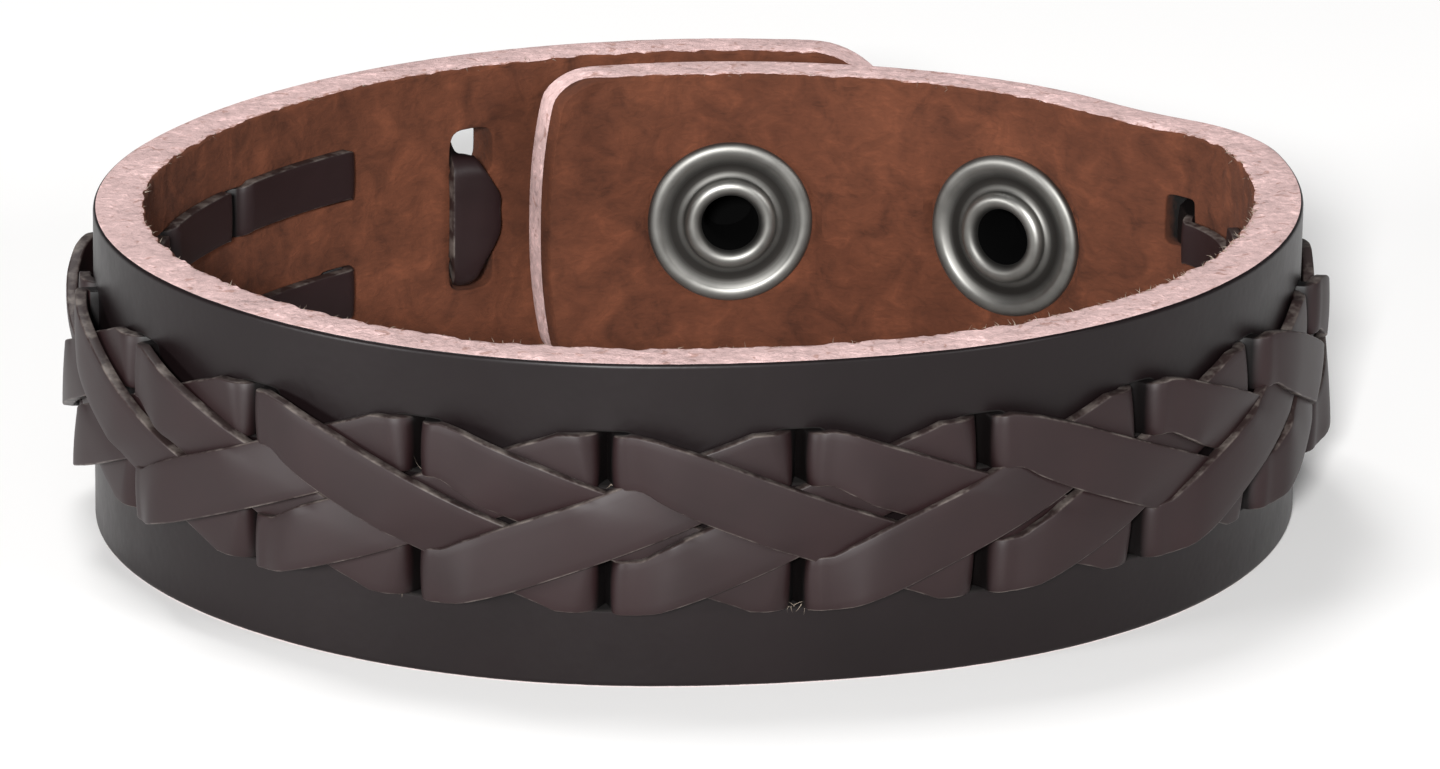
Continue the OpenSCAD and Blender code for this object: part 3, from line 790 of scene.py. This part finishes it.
class Lace:
    """Rings of the lace as centre, across and through vectors in (s, z from the braid's middle,
    out). Strand k leaves its slot in the upper layer, crosses the face to slot k + 2 in the other
    row, dips to the lower layer on the way, and returns behind the strap to slot k + 1."""

    # radius of the turns at a slot, the lace's play in the slot, how far it is pressed past the
    # slot's ends and the strand beside it so that no light shows, the distance between rings on a
    # run, and the number of rings of a turn, in a slot, behind the strap and on the first run
    BEND, PLAY, PRESSED, STEP = 0.55, 0.15, 0.02, 0.42
    TURN_RINGS, SLOT_RINGS, BACK_RINGS, FIRST_RINGS = 7, 9, 13, 38
    # a strand where it leaves its slot: its width as a share of the lace's, how far it is above
    # its row, its lean in degrees, how far it is below its full height, the length over which it
    # rises to that, and the slant of its end; then its width and slant where it arrives, and the
    # length over which a slant fades
    LEAVE_WIDTH, LEAVE_LIFT, LEAVE_LEAN = 0.88, 0.15, 8
    LEAVE_SINK, LEAVE_LENGTH, LEAVE_TILT = 0.4, 3.2, -0.08
    ARRIVE_WIDTH, ARRIVE_TILT, TILT_LENGTH = 0.86, 0.3, 2.5
    # shares of a run: bent into its slope at each end, brought to its full slope, brought to its
    # full width, and brought to its full lean
    EASE, SLOPE_LEAVING, SLOPE_ARRIVING = 0.04, 0.08, 0.05
    WIDEN_LEAVING, WIDEN_ARRIVING, LEAN_RISE = 0.25, 0.2, 0.12
    # the dip: its length as a share of the pitch, how far before its middle the lean has gone,
    # how far on both sides of it the rings lie along the strands that cross, and the length over
    # which they turn square again; and the share of the lean by which the whole strand stands out
    DIP_LENGTH, LEAN_END, SKEWED, SKEW_FADE, LEAN_OUT = 0.75, 2.0, 1.0, 4.0, 0.8
    # thickness in a slot, as a share of the lace's: alone in it, and in its mouth; how far in from
    # the flesh side it has swollen, how far below the grain side it starts to thin again, and how
    # far below it that has come to the mouth's
    ALONE, MOUTH = 2.9, 1.3
    SWELL_START, SWELL_END, MOUTH_DEPTH = 0.7, 1.3, 0.1
    # width and lift of the runs behind the strap; width of the last of them, and how much nearer
    # the braid's middle it is; and the same for the first strand where it comes out of its slot
    BACK_WIDTH, BACK_LIFT = 0.86, 0.35
    TAIL_WIDTH, TAIL_INWARD = 0.7, 1.0
    FIRST_WIDTH, FIRST_INWARD = 0.7, 0.25

    def __init__(self):
        self.row = mm("strap", "row_offset")
        self.pitch = mm("strap", "slot_pitch")
        self.first = mm("strap", "slot_first")
        self.thick = mm("strap", "thickness")
        self.half_w = mm("lace", "width") / 2
        self.half_t = mm("lace", "thickness") / 2
        gap = mm("lace", "gap")
        self.slot_face = mm("strap", "slot_width") / 2 - self.PLAY
        self.side = self.slot_face - self.half_t
        self.low = gap + self.half_t
        self.high = self.low + 2 * self.half_t + gap
        self.leave_out = self.high - self.LEAVE_SINK
        self.behind = -self.thick - self.low
        self.run_from = self.side + self.BEND
        self.run_to = 2 * self.pitch - self.run_from
        self.squeeze = (mm("strap", "slot_height") + self.PRESSED) / mm("lace", "width")
        self.swell = (self.slot_face + self.PRESSED) / (2 * self.half_t * THIN_EDGE)
        self.strands = settings("strap").slot_count - 2
        self.slope = math.atan(2 * self.row / ((1 - self.EASE) * (self.run_to - self.run_from)))

    def slot_at(self, k):
        """Distance along the strap of slot k: the first one's plus k times the pitch."""
        return self.first + k * self.pitch

    def rings(self, centre, across, through):
        """Puts the three coordinates of the three vectors into one array, a ring a row."""
        return np.stack([np.broadcast_arrays(*centre), np.broadcast_arrays(*across),
                         np.broadcast_arrays(*through)], 1).transpose(2, 1, 0)

    def corner(self, s, z, out, turns, along, inward, width, lift=0.0, squeeze=None, sink=0.0,
               tilt=0.0):
        """A quarter turn from a slot on to a face, or back into one. On the face the upper edge
        may be ahead of the lower one, by the tilt."""
        b = np.radians(turns)
        share = b / (np.pi / 2)
        fat = 1 + (self.MOUTH - 1) * (1 - share) * (inward > 0)
        reach = self.BEND * (1 - np.cos(b)) - (fat - 1) * self.half_t
        rise = self.BEND * (np.sin(b) - 1)
        wide = (squeeze or self.squeeze) * (1 - share) + width * share
        zero = np.zeros_like(b)
        return self.rings((s + along * reach, z + sink * (1 - share) + lift * share,
                           out + rise * inward),
                          (tilt * share * wide, wide, zero),
                          (-fat * np.cos(b) * along, zero, fat * np.sin(b) * inward))

    def run(self, s0, side, dip):
        """Over the outer face: the row changes evenly with the distance, and the rings lie along
        the strands that cross it where it dips. A strand that comes up out of the lower row
        stands out along its lower edge there."""
        u = lines([self.run_from, dip - self.SKEWED, dip + self.SKEWED, self.run_to], self.STEP)
        x = (u - self.run_from) / (self.run_to - self.run_from)
        ease = self.EASE
        y = np.where(x < ease, x * x / (2 * ease * (1 - ease)),
                     np.where(x > 1 - ease, 1 - (1 - x) ** 2 / (2 * ease * (1 - ease)),
                              (x - ease / 2) / (1 - ease)))
        skew = np.clip(1 - (np.abs(u - dip) - self.SKEWED) / self.SKEW_FADE, 0, 1)
        along = skew / (2 * math.sin(self.slope))
        leaving = 1 - eased(x / self.WIDEN_LEAVING)
        arriving = 1 - eased((1 - x) / self.WIDEN_ARRIVING)
        width = 1 - (1 - self.LEAVE_WIDTH) * leaving - (1 - self.ARRIVE_WIDTH) * arriving
        lift = self.up * self.LEAVE_LIFT * (1 - x)
        pitch = self.slope * eased(x / self.SLOPE_LEAVING) * eased((1 - x) / self.SLOPE_ARRIVING)
        down = eased((u - dip) / (self.DIP_LENGTH * self.pitch) + 0.5)
        tall = (1 - along * np.sin(pitch)) / np.cos(pitch) * width
        gone = u - self.run_from
        lean = math.radians(self.LEAVE_LEAN) * (side * self.up < 0) * eased(x / self.LEAN_RISE) * (
            1 - eased(gone / (dip - self.LEAN_END - self.run_from)))
        rest = (self.high - self.leave_out) * np.clip(1 - gone / self.LEAVE_LENGTH, 0, 1) ** 2
        out = self.high + (self.low - self.high) * down - rest + (
            self.LEAN_OUT * np.tan(lean) * (self.half_w * tall))
        tilt = self.LEAVE_TILT * (1 - eased(gone / self.TILT_LENGTH)) + (
            side * self.ARRIVE_TILT * (1 - eased((self.run_to - u) / self.TILT_LENGTH)))
        zero = np.zeros_like(u)
        return self.rings((s0 + u, side * self.row * (1 - 2 * y) + lift, out),
                          (side * along * width + tilt * width, tall, side * np.tan(lean) * tall),
                          (zero, -side * np.sin(lean), np.cos(lean)))

    def in_slot(self, s, z, depth, along, alone=False, cross=False, drop=0.0):
        """Upright in a slot, squeezed, and swollen half way through until it meets the other
        strand in the slot, or the far wall where it is alone. It may cross the slot on its way in
        to the flesh side, and drop."""
        full = self.ALONE if alone else self.swell
        swollen = np.interp(depth, [-self.thick, -self.thick + self.SWELL_START, -self.SWELL_END,
                                    -self.MOUTH_DEPTH], [1, full, full, self.MOUTH])
        deep = np.clip(-depth / self.thick, 0, 1)
        place = along * (self.slot_face - swollen * self.half_t) * (1 - 2 * deep * cross)
        zero = np.zeros_like(depth)
        return self.rings((s + place, z + drop * deep, depth),
                          (zero, zero + self.squeeze, zero), (-along * swollen, zero, zero))

    def strand(self, k, dip):
        """Up through its slot, over the face to the other row, down through the slot there, and
        back behind the strap. The first strand starts where the first run has come up."""
        s0, s1 = self.slot_at(k), self.slot_at(k + 2)
        side = 1 if k % 2 == 0 else -1
        z0 = side * self.row
        up = np.linspace(0, 90, self.TURN_RINGS)
        inmost = self.behind + self.BEND
        depth = np.linspace(inmost, self.leave_out - self.BEND, self.SLOT_RINGS)[1:-1]
        down = np.linspace(self.low - self.BEND, inmost, self.SLOT_RINGS)[1:-1]
        from_lift, to_lift = (max(0, self.BACK_LIFT * self.up * z) / self.row * self.up
                              for z in (z0, -z0))
        leave = self.up * self.LEAVE_LIFT
        # the first two strands have a slot to themselves where they leave, and the last two
        # where they arrive; the lace fills the slot's mouth on the flesh side in all but one
        enter = -self.side if k == 1 else self.side
        tail, last_but_one = k == self.strands - 1, k == self.strands - 2
        emerge = self.side if last_but_one else -self.side
        drop = side * self.TAIL_INWARD if tail else 0.0
        width = self.TAIL_WIDTH if tail else self.BACK_WIDTH
        if tail:
            to_lift, back = 0.0, s1 - self.run_from - mm("lace", "tail")
        else:
            back = self.slot_at(k + 1) + self.BEND + (-self.side if k == 0 else self.side)
        behind = np.linspace(s1 + emerge - self.BEND, back,
                             self.BACK_RINGS)[1:None if tail else -1]
        zero = np.zeros_like(behind)
        if k:
            parts = [self.corner(s0 + enter, z0, self.behind, up[::-1], 1, -1,
                                 self.BACK_WIDTH, from_lift),
                     self.in_slot(s0, z0, depth, 1, k == 1, k == 1),
                     self.corner(s0 + self.side, z0, self.leave_out, up, 1, 1,
                                 self.LEAVE_WIDTH, leave, tilt=self.LEAVE_TILT)]
        else:
            parts = [self.corner(s0 + self.side, z0, self.leave_out, up, 1, 1, self.LEAVE_WIDTH,
                                 leave, self.FIRST_WIDTH, -self.FIRST_INWARD, self.LEAVE_TILT)]
        return parts + [
            self.run(s0, side, dip)[1:-1],
            self.corner(s1 - self.side, -z0, self.low, up[::-1], -1, 1, self.ARRIVE_WIDTH,
                        tilt=side * self.ARRIVE_TILT),
            self.in_slot(s1, -z0, down, -1, tail or last_but_one, last_but_one, drop),
            self.corner(s1 + emerge, -z0 + drop, self.behind, up, -1, -1, width, to_lift),
            self.rings((behind, zero - z0 + drop + to_lift, zero + self.behind),
                       (zero, zero + width, zero), (zero, zero, zero - 1))]

    # the run behind the first slot pair, from the braid's middle into the slot. Columns: distance
    # from the slot, height, depth, width and thickness as shares of the lace's, the turn from
    # climbing to going out through the slot, and the twist about that way, in degrees
    INTO_UPPER = (
        (-0.30, 0.00, -3.48, 1.00, 1.00, 0, 0), (-0.30, 0.85, -3.48, 1.00, 1.00, 0, 0),
        (0.03, 1.90, -3.46, 0.82, 1.05, 8, 0), (0.33, 2.65, -3.30, 0.62, 1.35, 40, 0),
        (0.43, 2.95, -2.85, 0.47, 1.80, 80, 5), (0.62, 3.02, -2.30, 0.58, 1.00, 90, 62),
        (0.90, 3.25, -1.70, 0.66, 1.00, 90, 86), (0.83, 3.40, 0.35, 0.70, 1.30, 90, 90))
    INTO_LOWER = (
        (-0.30, 0.00, -3.48, 1.00, 1.00, 0, 0), (-0.30, 1.40, -3.48, 1.00, 1.00, 0, 0),
        (-0.10, 2.20, -3.48, 0.89, 1.05, 5, 0), (0.22, 3.00, -3.36, 0.68, 1.50, 30, 0),
        (0.43, 3.55, -2.88, 0.46, 3.25, 80, 5), (0.60, 3.25, -2.30, 0.60, 1.60, 90, 62),
        (0.90, 3.25, -1.70, 0.66, 1.00, 90, 86), (0.83, 3.40, 0.35, 0.70, 1.30, 90, 90))

    def first_run(self):
        """Half of the run behind the first slot pair: flat over the flesh, its edge nearer the
        next slot straight, then bunched as it turns into the slot and twisted upright there."""
        keys = np.array(self.INTO_UPPER if self.up > 0 else self.INTO_LOWER)
        marks = np.concatenate([[0], np.cumsum(np.linalg.norm(np.diff(keys[:, :3], axis=0),
                                                              axis=1))])
        # it stops just short of the turn on to the face, which adds its own first ring
        short = 0.999
        at = np.linspace(0, marks[-1] * short, self.FIRST_RINGS)
        s, z, out, wide, thick, turn, twist = through_keys(marks, keys, at).T
        turn, twist = np.radians(turn), np.radians(twist)
        zero = np.zeros_like(s)
        flat = np.stack([zero + 1, zero, zero], 1)
        over = np.stack([zero, np.sin(turn), -np.cos(turn)], 1)
        cos, sin = np.cos(twist)[:, None], np.sin(twist)[:, None]
        return np.stack([np.stack([s + self.slot_at(0), z, out], 1),
                         wide[:, None] * (cos * flat + sin * over),
                         thick[:, None] * (cos * over - sin * flat)], 1)

    def half(self, dip, up):
        """Half of the lace, with up the side that the strands are lifted to."""
        self.up = up
        parts = [self.first_run()]
        for k in range(self.strands):
            parts += self.strand(k, dip * self.pitch)
        return np.concatenate(parts)


def make_lace(plan):
    """Both halves of the lace end to end: a rounded section carried along the rings. The second
    half mirrors the rows, and dips early where the first dips late. The third number of a point's
    place is one where the lace stands upright in a slot, which its material paints nearly black as
    painted shade."""
    lace = Lace()
    late, early = lace.half(LATE_DIP, 1), lace.half(EARLY_DIP, -1) * (1, -1, 1)
    rings = np.concatenate([early[::-1], late])
    shape = section(lace.half_w, lace.half_t, mm("lace", "bevel"))
    points = rings[:, None, 0] + shape[None, :, :1] * rings[:, None, 1] + (
        shape[None, :, 1:] * rings[:, None, 2])
    run = np.concatenate([[0], np.cumsum(np.linalg.norm(np.diff(rings[:, 0], axis=0), axis=1))])
    across = np.broadcast_to(shape[None, :, 0], points.shape[:2])
    upright = 1 - np.abs(rings[:, 2, 2]) / np.linalg.norm(rings[:, 2], axis=1)
    # painted shade in the slots: one where the lace stands upright, which the material paints
    # nearly black
    dark = np.broadcast_to(eased((upright - SLOT_SHADE_FROM) / SLOT_SHADE_OVER)[:, None] / MM,
                           points.shape[:2])
    note = np.stack([np.broadcast_to(run[:, None], points.shape[:2]), across, dark], -1)
    place = points + (0, mm("strap", "width") / 2 + mm("strap", "braid_rise"), 0)
    count, sides = points.shape[:2]
    walls = quads(count, sides, True).reshape(-1, 4)
    caps = []
    for base in (0, (count - 1) * sides):
        i = np.arange(sides // 2 - 1)
        caps.append(base + np.stack([i, i + 1, sides - 2 - i, sides - 1 - i], 1))
    faces = np.concatenate([walls] + caps)
    return make_object("lace_leather", plan.bend(place).reshape(-1, 3), faces,
                       np.zeros(len(faces)), [material("calf_lace", lace_leather)], 50,
                       note.reshape(-1, 3) * MM)


# Snap

def arc(x, y, r, start, stop, steps, tall=1.0):
    """Points on a circle, as radius from the axis and height, which may be made flatter."""
    a = np.radians(np.linspace(start, stop, steps))
    return np.stack([x + r * np.cos(a), y + tall * r * np.sin(a)], 1)


# sides of a turned piece
LATHE_SIDES = 96


def lathe(plan, name, s, rise, profile, finish, materials, seat=0.0, facing=1, closed=False,
          grooves=()):
    """A profile of (radius, height) turned about an axis that stands out of the strap at distance
    s. Heights run from the seat, outwards or inwards. Each groove is a radius, a reach and a
    strength: tarnish is that strong at the radius, and fades out smoothly to the reach on both
    sides."""
    profile = np.asarray(profile, float)
    angle = np.linspace(0, 2 * np.pi, LATHE_SIDES, endpoint=False)
    _, heading = plan.heading_at(np.array(s))
    foot = plan.bend(np.array([s, mm("strap", "width") / 2 + rise, 0.0]))
    out = np.array([math.sin(heading), -math.cos(heading), 0.0])
    side = np.array([math.cos(heading), math.sin(heading), 0.0])
    up = np.array([0.0, 0.0, 1.0])
    r, h = profile[:, 0, None, None], profile[:, 1, None, None]
    ring = np.cos(angle)[:, None] * side + np.sin(angle)[:, None] * up
    grid = foot + MM * ((seat + facing * h) * out + r * ring)
    if closed:
        grid = np.concatenate([grid, grid[:1]])
        finish = list(finish) + [finish[-1]]
    shell = Shell()
    finish = np.asarray(finish)
    for i in range(len(grid) - 1):
        shell.add(grid[i:i + 2], finish[i], around=True)
    points, faces, marks = shell.welded(1e-7)
    away = (points - foot) / MM
    height = away @ out
    radius = np.linalg.norm(away - height[:, None] * out, axis=1)
    tarnish = np.zeros(len(points))
    for middle, reach, strength in grooves:
        tarnish = np.maximum(tarnish, strength * (1 - eased(np.abs(radius - middle) / reach)))
    tarnish = np.minimum(tarnish, 1)
    note = np.stack([radius * MM, height * MM, tarnish], 1)
    return make_object(name, points, faces, marks, materials, 50, note)


def make_eyelet(plan, name, s, rise, materials):
    """Rim rolled round, a groove that dishes towards the raised bead, and the tube that goes
    through the leather into the stud."""
    roll, groove_at, bead_at, bead_r = 0.5, 3.5, 2.33, 0.55
    rim = mm("snap", "eyelet") / 2 - roll
    tube_r, bore_r, reach = 1.85, 1.6, mm("strap", "thickness") + 1
    profile = np.concatenate([
        [(rim + 0.47, 0.0)], arc(rim, 0.2, roll, -10, 140, 14, 0.7),
        arc(groove_at, 0.465, 0.62, 340, 200, 9, 0.4),
        arc(bead_at, 0.42, bead_r, 0, 180, 17),
        [(1.75, 0.2), (bore_r, -0.3), (bore_r, -reach), (tube_r, -reach), (tube_r, 0.0)]])
    marks = np.zeros(len(profile), int)
    marks[-6:] = 1
    # tarnish in the groove, round the mouth of the bore, and along the rim
    grooves = (3.55, 0.95, 1.15), (1.8, 0.5, 0.8), (5.1, 0.8, 0.35)
    return lathe(plan, name, s, rise, profile, marks, materials, -mm("strap", "thickness"), -1,
                 True, grooves)


def make_stud(plan, name, s, rise, materials):
    """Base, neck and rounded head, hollow from below."""
    base, head = mm("snap", "base") / 2, mm("snap", "head") / 2
    seat, bore = 0.15, 1.95
    profile = np.concatenate([
        [(bore, -seat)], [(base - 0.1, -seat)], arc(base - 0.2, 0.15, 0.2, -60, 90, 6),
        [(head + 0.35, 0.35)], arc(head + 0.2, 0.6, 0.45, 240, 180, 4),
        [(head - 0.25, 1.15)], arc(head - 0.3, 1.5, 0.3, -70, 0, 4),
        arc(head - 0.5, 2.5, 0.5, 0, 90, 8), [(0.0, 3.0), (0.0, 2.5), (bore, 2.5)]])
    marks = np.zeros(len(profile), int)
    marks[-3:] = 1
    return lathe(plan, name, s, rise, profile, marks, materials, closed=True,
                 grooves=((head + 0.3, 0.7, 0.6),))


def make_cap(plan, materials):
    """Domed cap with its rim rolled under, and the post that holds the socket."""
    r = mm("snap", "cap") / 2
    rise, rim, roll, drawn_in, sunk, post_r, post_foot = 1.7, 0.6, 0.3, 0.25, 0.3, 1.6, -1.3
    seat = mm("strap", "overlap_gap") + mm("strap", "thickness") - sunk
    dome = (r ** 2 + rise ** 2) / (2 * rise)
    open_angle = math.degrees(math.asin((r - drawn_in) / dome))
    profile = np.concatenate([
        [(0.0, post_foot), (post_r, post_foot), (post_r, 0.0), (r - roll, 0.0)],
        arc(r - roll, roll, roll, -90, 50, 8),
        arc(0, rim + rise - dome, dome, 90 - open_angle, 90, 24)])
    return lathe(plan, "cap_metal", mm("snap", "fastened_at"), 0, profile,
                 np.zeros(len(profile), int), materials, seat, closed=True,
                 grooves=((r, 0.35, 0.7),))


def make_socket(plan, materials):
    """Ring with a rolled edge, and the cup that grips the head of the stud."""
    r, gap, cavity, cup = mm("snap", "socket") / 2, mm("strap", "overlap_gap"), 2.7, 3.1
    profile = np.concatenate([
        [(cavity, 0.65), (cavity + 0.4, 0.65)], arc(cup + 0.6, 0.95, 0.3, 200, 270, 4),
        arc(r - 0.5, 1.15, 0.5, -90, 90, 12), [(cup, gap - 0.35), (cup, gap + 1.4),
                                               (0.0, gap + 1.4), (0.0, gap + 0.95),
                                               (cavity, gap + 0.95)]])
    marks = np.zeros(len(profile), int)
    return lathe(plan, "socket_metal", mm("snap", "fastened_at"), 0, profile, marks, materials,
                 closed=True, grooves=((cup + 0.3, 0.6, 0.6),))


def seat_piece(piece, node):
    """Puts a finished piece in the place of its part."""
    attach(piece, "root")
    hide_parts(node)


# Operators

class BRACELET_OT_strap(bpy.types.Operator):
    """Build the strap with its slots, holes and cut edges"""
    bl_idname = "bracelet.strap"
    bl_label = "Strap"

    def execute(self, context):
        plan = Plan()
        seat_piece(make_strap(plan), "strap")
        fibres = make_fibres(plan)
        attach(fibres, "root")
        return {"FINISHED"}


class BRACELET_OT_lace(bpy.types.Operator):
    """Build the lace that is braided through the strap"""
    bl_idname = "bracelet.lace"
    bl_label = "Lace"

    def execute(self, context):
        seat_piece(make_lace(Plan()), "lace")
        return {"FINISHED"}


class BRACELET_OT_snap(bpy.types.Operator):
    """Build the cap, the socket, both studs and both eyelets"""
    bl_idname = "bracelet.snap"
    bl_label = "Snap"

    def execute(self, context):
        plan = Plan()
        materials = [material("antique_nickel", snap_metal), material("bore_painted_shade", dark_bore)]
        seat_piece(make_cap(plan, materials[:1]), "snap_cap")
        seat_piece(make_socket(plan, materials[:1]), "snap_socket")
        for name, place, rise in (("fastened", "fastened_at", 0.0),
                                  ("spare", "spare_at", mm("snap", "spare_rise"))):
            s = mm("snap", place)
            seat_piece(make_stud(plan, "stud_metal_" + name, s, rise, materials),
                       "stud_" + name)
            seat_piece(make_eyelet(plan, "eyelet_metal_" + name, s, rise, materials),
                       "eyelet_" + name)
        return {"FINISHED"}


# Columns: name, place in metres, width and height in metres, power in watts
SOFTBOXES = (
    ("overhead_softbox", (-0.25, 0.42, 1.05), (0.4, 0.4), 5.5),
    ("front_softbox", (-0.10, -1.12, 0.41), (0.12, 0.12), 20.5),
    ("left_softbox", (-1.00, -0.60, 0.18), (0.3, 0.2), 9),
    ("right_softbox", (0.85, -0.62, 0.40), (0.3, 0.3), 4),
)


# radius and corners of the floor, and the camera's aim in metres, shift and roll
FLOOR_RADIUS, FLOOR_CORNERS = 4, 64
AIM, SHIFT, ROLL = np.array([-0.00011, -0.0039, 0.0095]), (0.0163, -0.0143), math.radians(0.813)


def looking(way):
    """Turn that points a lamp or the camera along a direction, its top upwards."""
    return Vector(way).to_track_quat("-Z", "Y")


class BRACELET_OT_studio(bpy.types.Operator):
    """Set up the floor, the lights and the camera"""
    bl_idname = "bracelet.studio"
    bl_label = "Studio"

    def execute(self, context):
        scene = context.scene
        mesh = bpy.data.meshes.new("floor")
        angle = np.linspace(0, 2 * np.pi, FLOOR_CORNERS, endpoint=False)
        disc = FLOOR_RADIUS * np.stack([np.cos(angle), np.sin(angle), 0 * angle], 1)
        mesh.from_pydata(disc.tolist(), [], [list(range(FLOOR_CORNERS))])
        mesh.materials.append(material("matt_paint", studio_floor))
        floor = bpy.data.objects.new("floor", mesh)
        scene.collection.objects.link(floor)

        # a white backdrop behind, and a dimmer room all round that fills the shadows
        world = bpy.data.worlds.new("studio")
        world.use_nodes = True
        tree = world.node_tree
        tree.nodes.clear()
        room = add(tree, "Background", {"Color": linear("#F2F4F7"), "Strength": 0.14})
        backdrop = add(tree, "Background", {"Color": linear("#FFFFFF"), "Strength": 1.0})
        seen = add(tree, "LightPath", out="Is Camera Ray")
        both = add(tree, "MixShader", {0: seen, 1: room, 2: backdrop})
        add(tree, "OutputWorld", {"Surface": both})
        scene.world = world
        for name, place, across, power in SOFTBOXES:
            light = bpy.data.lights.new(name, "AREA")
            light.shape, light.size, light.size_y, light.energy = "RECTANGLE", *across, power
            holder = bpy.data.objects.new(name, light)
            holder.location = place
            holder.rotation_euler = looking(-np.array(place)).to_euler()
            scene.collection.objects.link(holder)

        tilt = settings("studio").elevation
        away = settings("studio").distance
        data = bpy.data.cameras.new("camera")
        data.sensor_width, data.lens = 36.0, settings("studio").lens
        data.shift_x, data.shift_y = SHIFT
        data.clip_end = 20
        camera = bpy.data.objects.new("camera", data)
        camera.location = AIM + away * np.array([0, -math.cos(tilt), math.sin(tilt)])
        camera.rotation_mode = "QUATERNION"
        camera.rotation_quaternion = looking(AIM - np.array(camera.location)) @ Quaternion(
            (0, 0, 1), ROLL)
        scene.collection.objects.link(camera)
        scene.camera = camera
        scene.view_settings.view_transform = "Standard"
        scene.view_settings.look = "None"
        return {"FINISHED"}


class BRACELET_PT_panel(bpy.types.Panel):
    """Lists the pieces of the bracelet with their sizes and colours"""
    bl_label = "Bracelet"
    bl_idname = "BRACELET_PT_panel"
    bl_space_type = "VIEW_3D"
    bl_region_type = "UI"
    bl_category = "Bracelet"

    def draw(self, context):
        for group, operator in (("strap", "bracelet.strap"), ("lace", "bracelet.lace"),
                                ("snap", "bracelet.snap"), ("studio", "bracelet.studio")):
            box = self.layout.box()
            box.operator(operator)
            values = settings(group)
            for name in values.bl_rna.properties.keys():
                if name not in ("rna_type", "name"):
                    box.prop(values, name)


GROUPS = (("strap", StrapSettings), ("lace", LaceSettings), ("snap", SnapSettings),
          ("studio", StudioSettings))
CLASSES = (BRACELET_OT_strap, BRACELET_OT_lace, BRACELET_OT_snap, BRACELET_OT_studio,
           BRACELET_PT_panel)


def register():
    for name, group in GROUPS:
        bpy.utils.register_class(group)
        setattr(bpy.types.Scene, "bracelet_" + name, PointerProperty(type=group))
    for each in CLASSES:
        bpy.utils.register_class(each)


def unregister():
    for each in reversed(CLASSES):
        bpy.utils.unregister_class(each)
    for name, group in reversed(GROUPS):
        delattr(bpy.types.Scene, "bracelet_" + name)
        bpy.utils.unregister_class(group)


def main():
    """Builds every piece and the studio."""
    register()
    bpy.ops.bracelet.strap()
    bpy.ops.bracelet.lace()
    bpy.ops.bracelet.snap()
    bpy.ops.bracelet.studio()


if __name__ == "__main__":
    main()
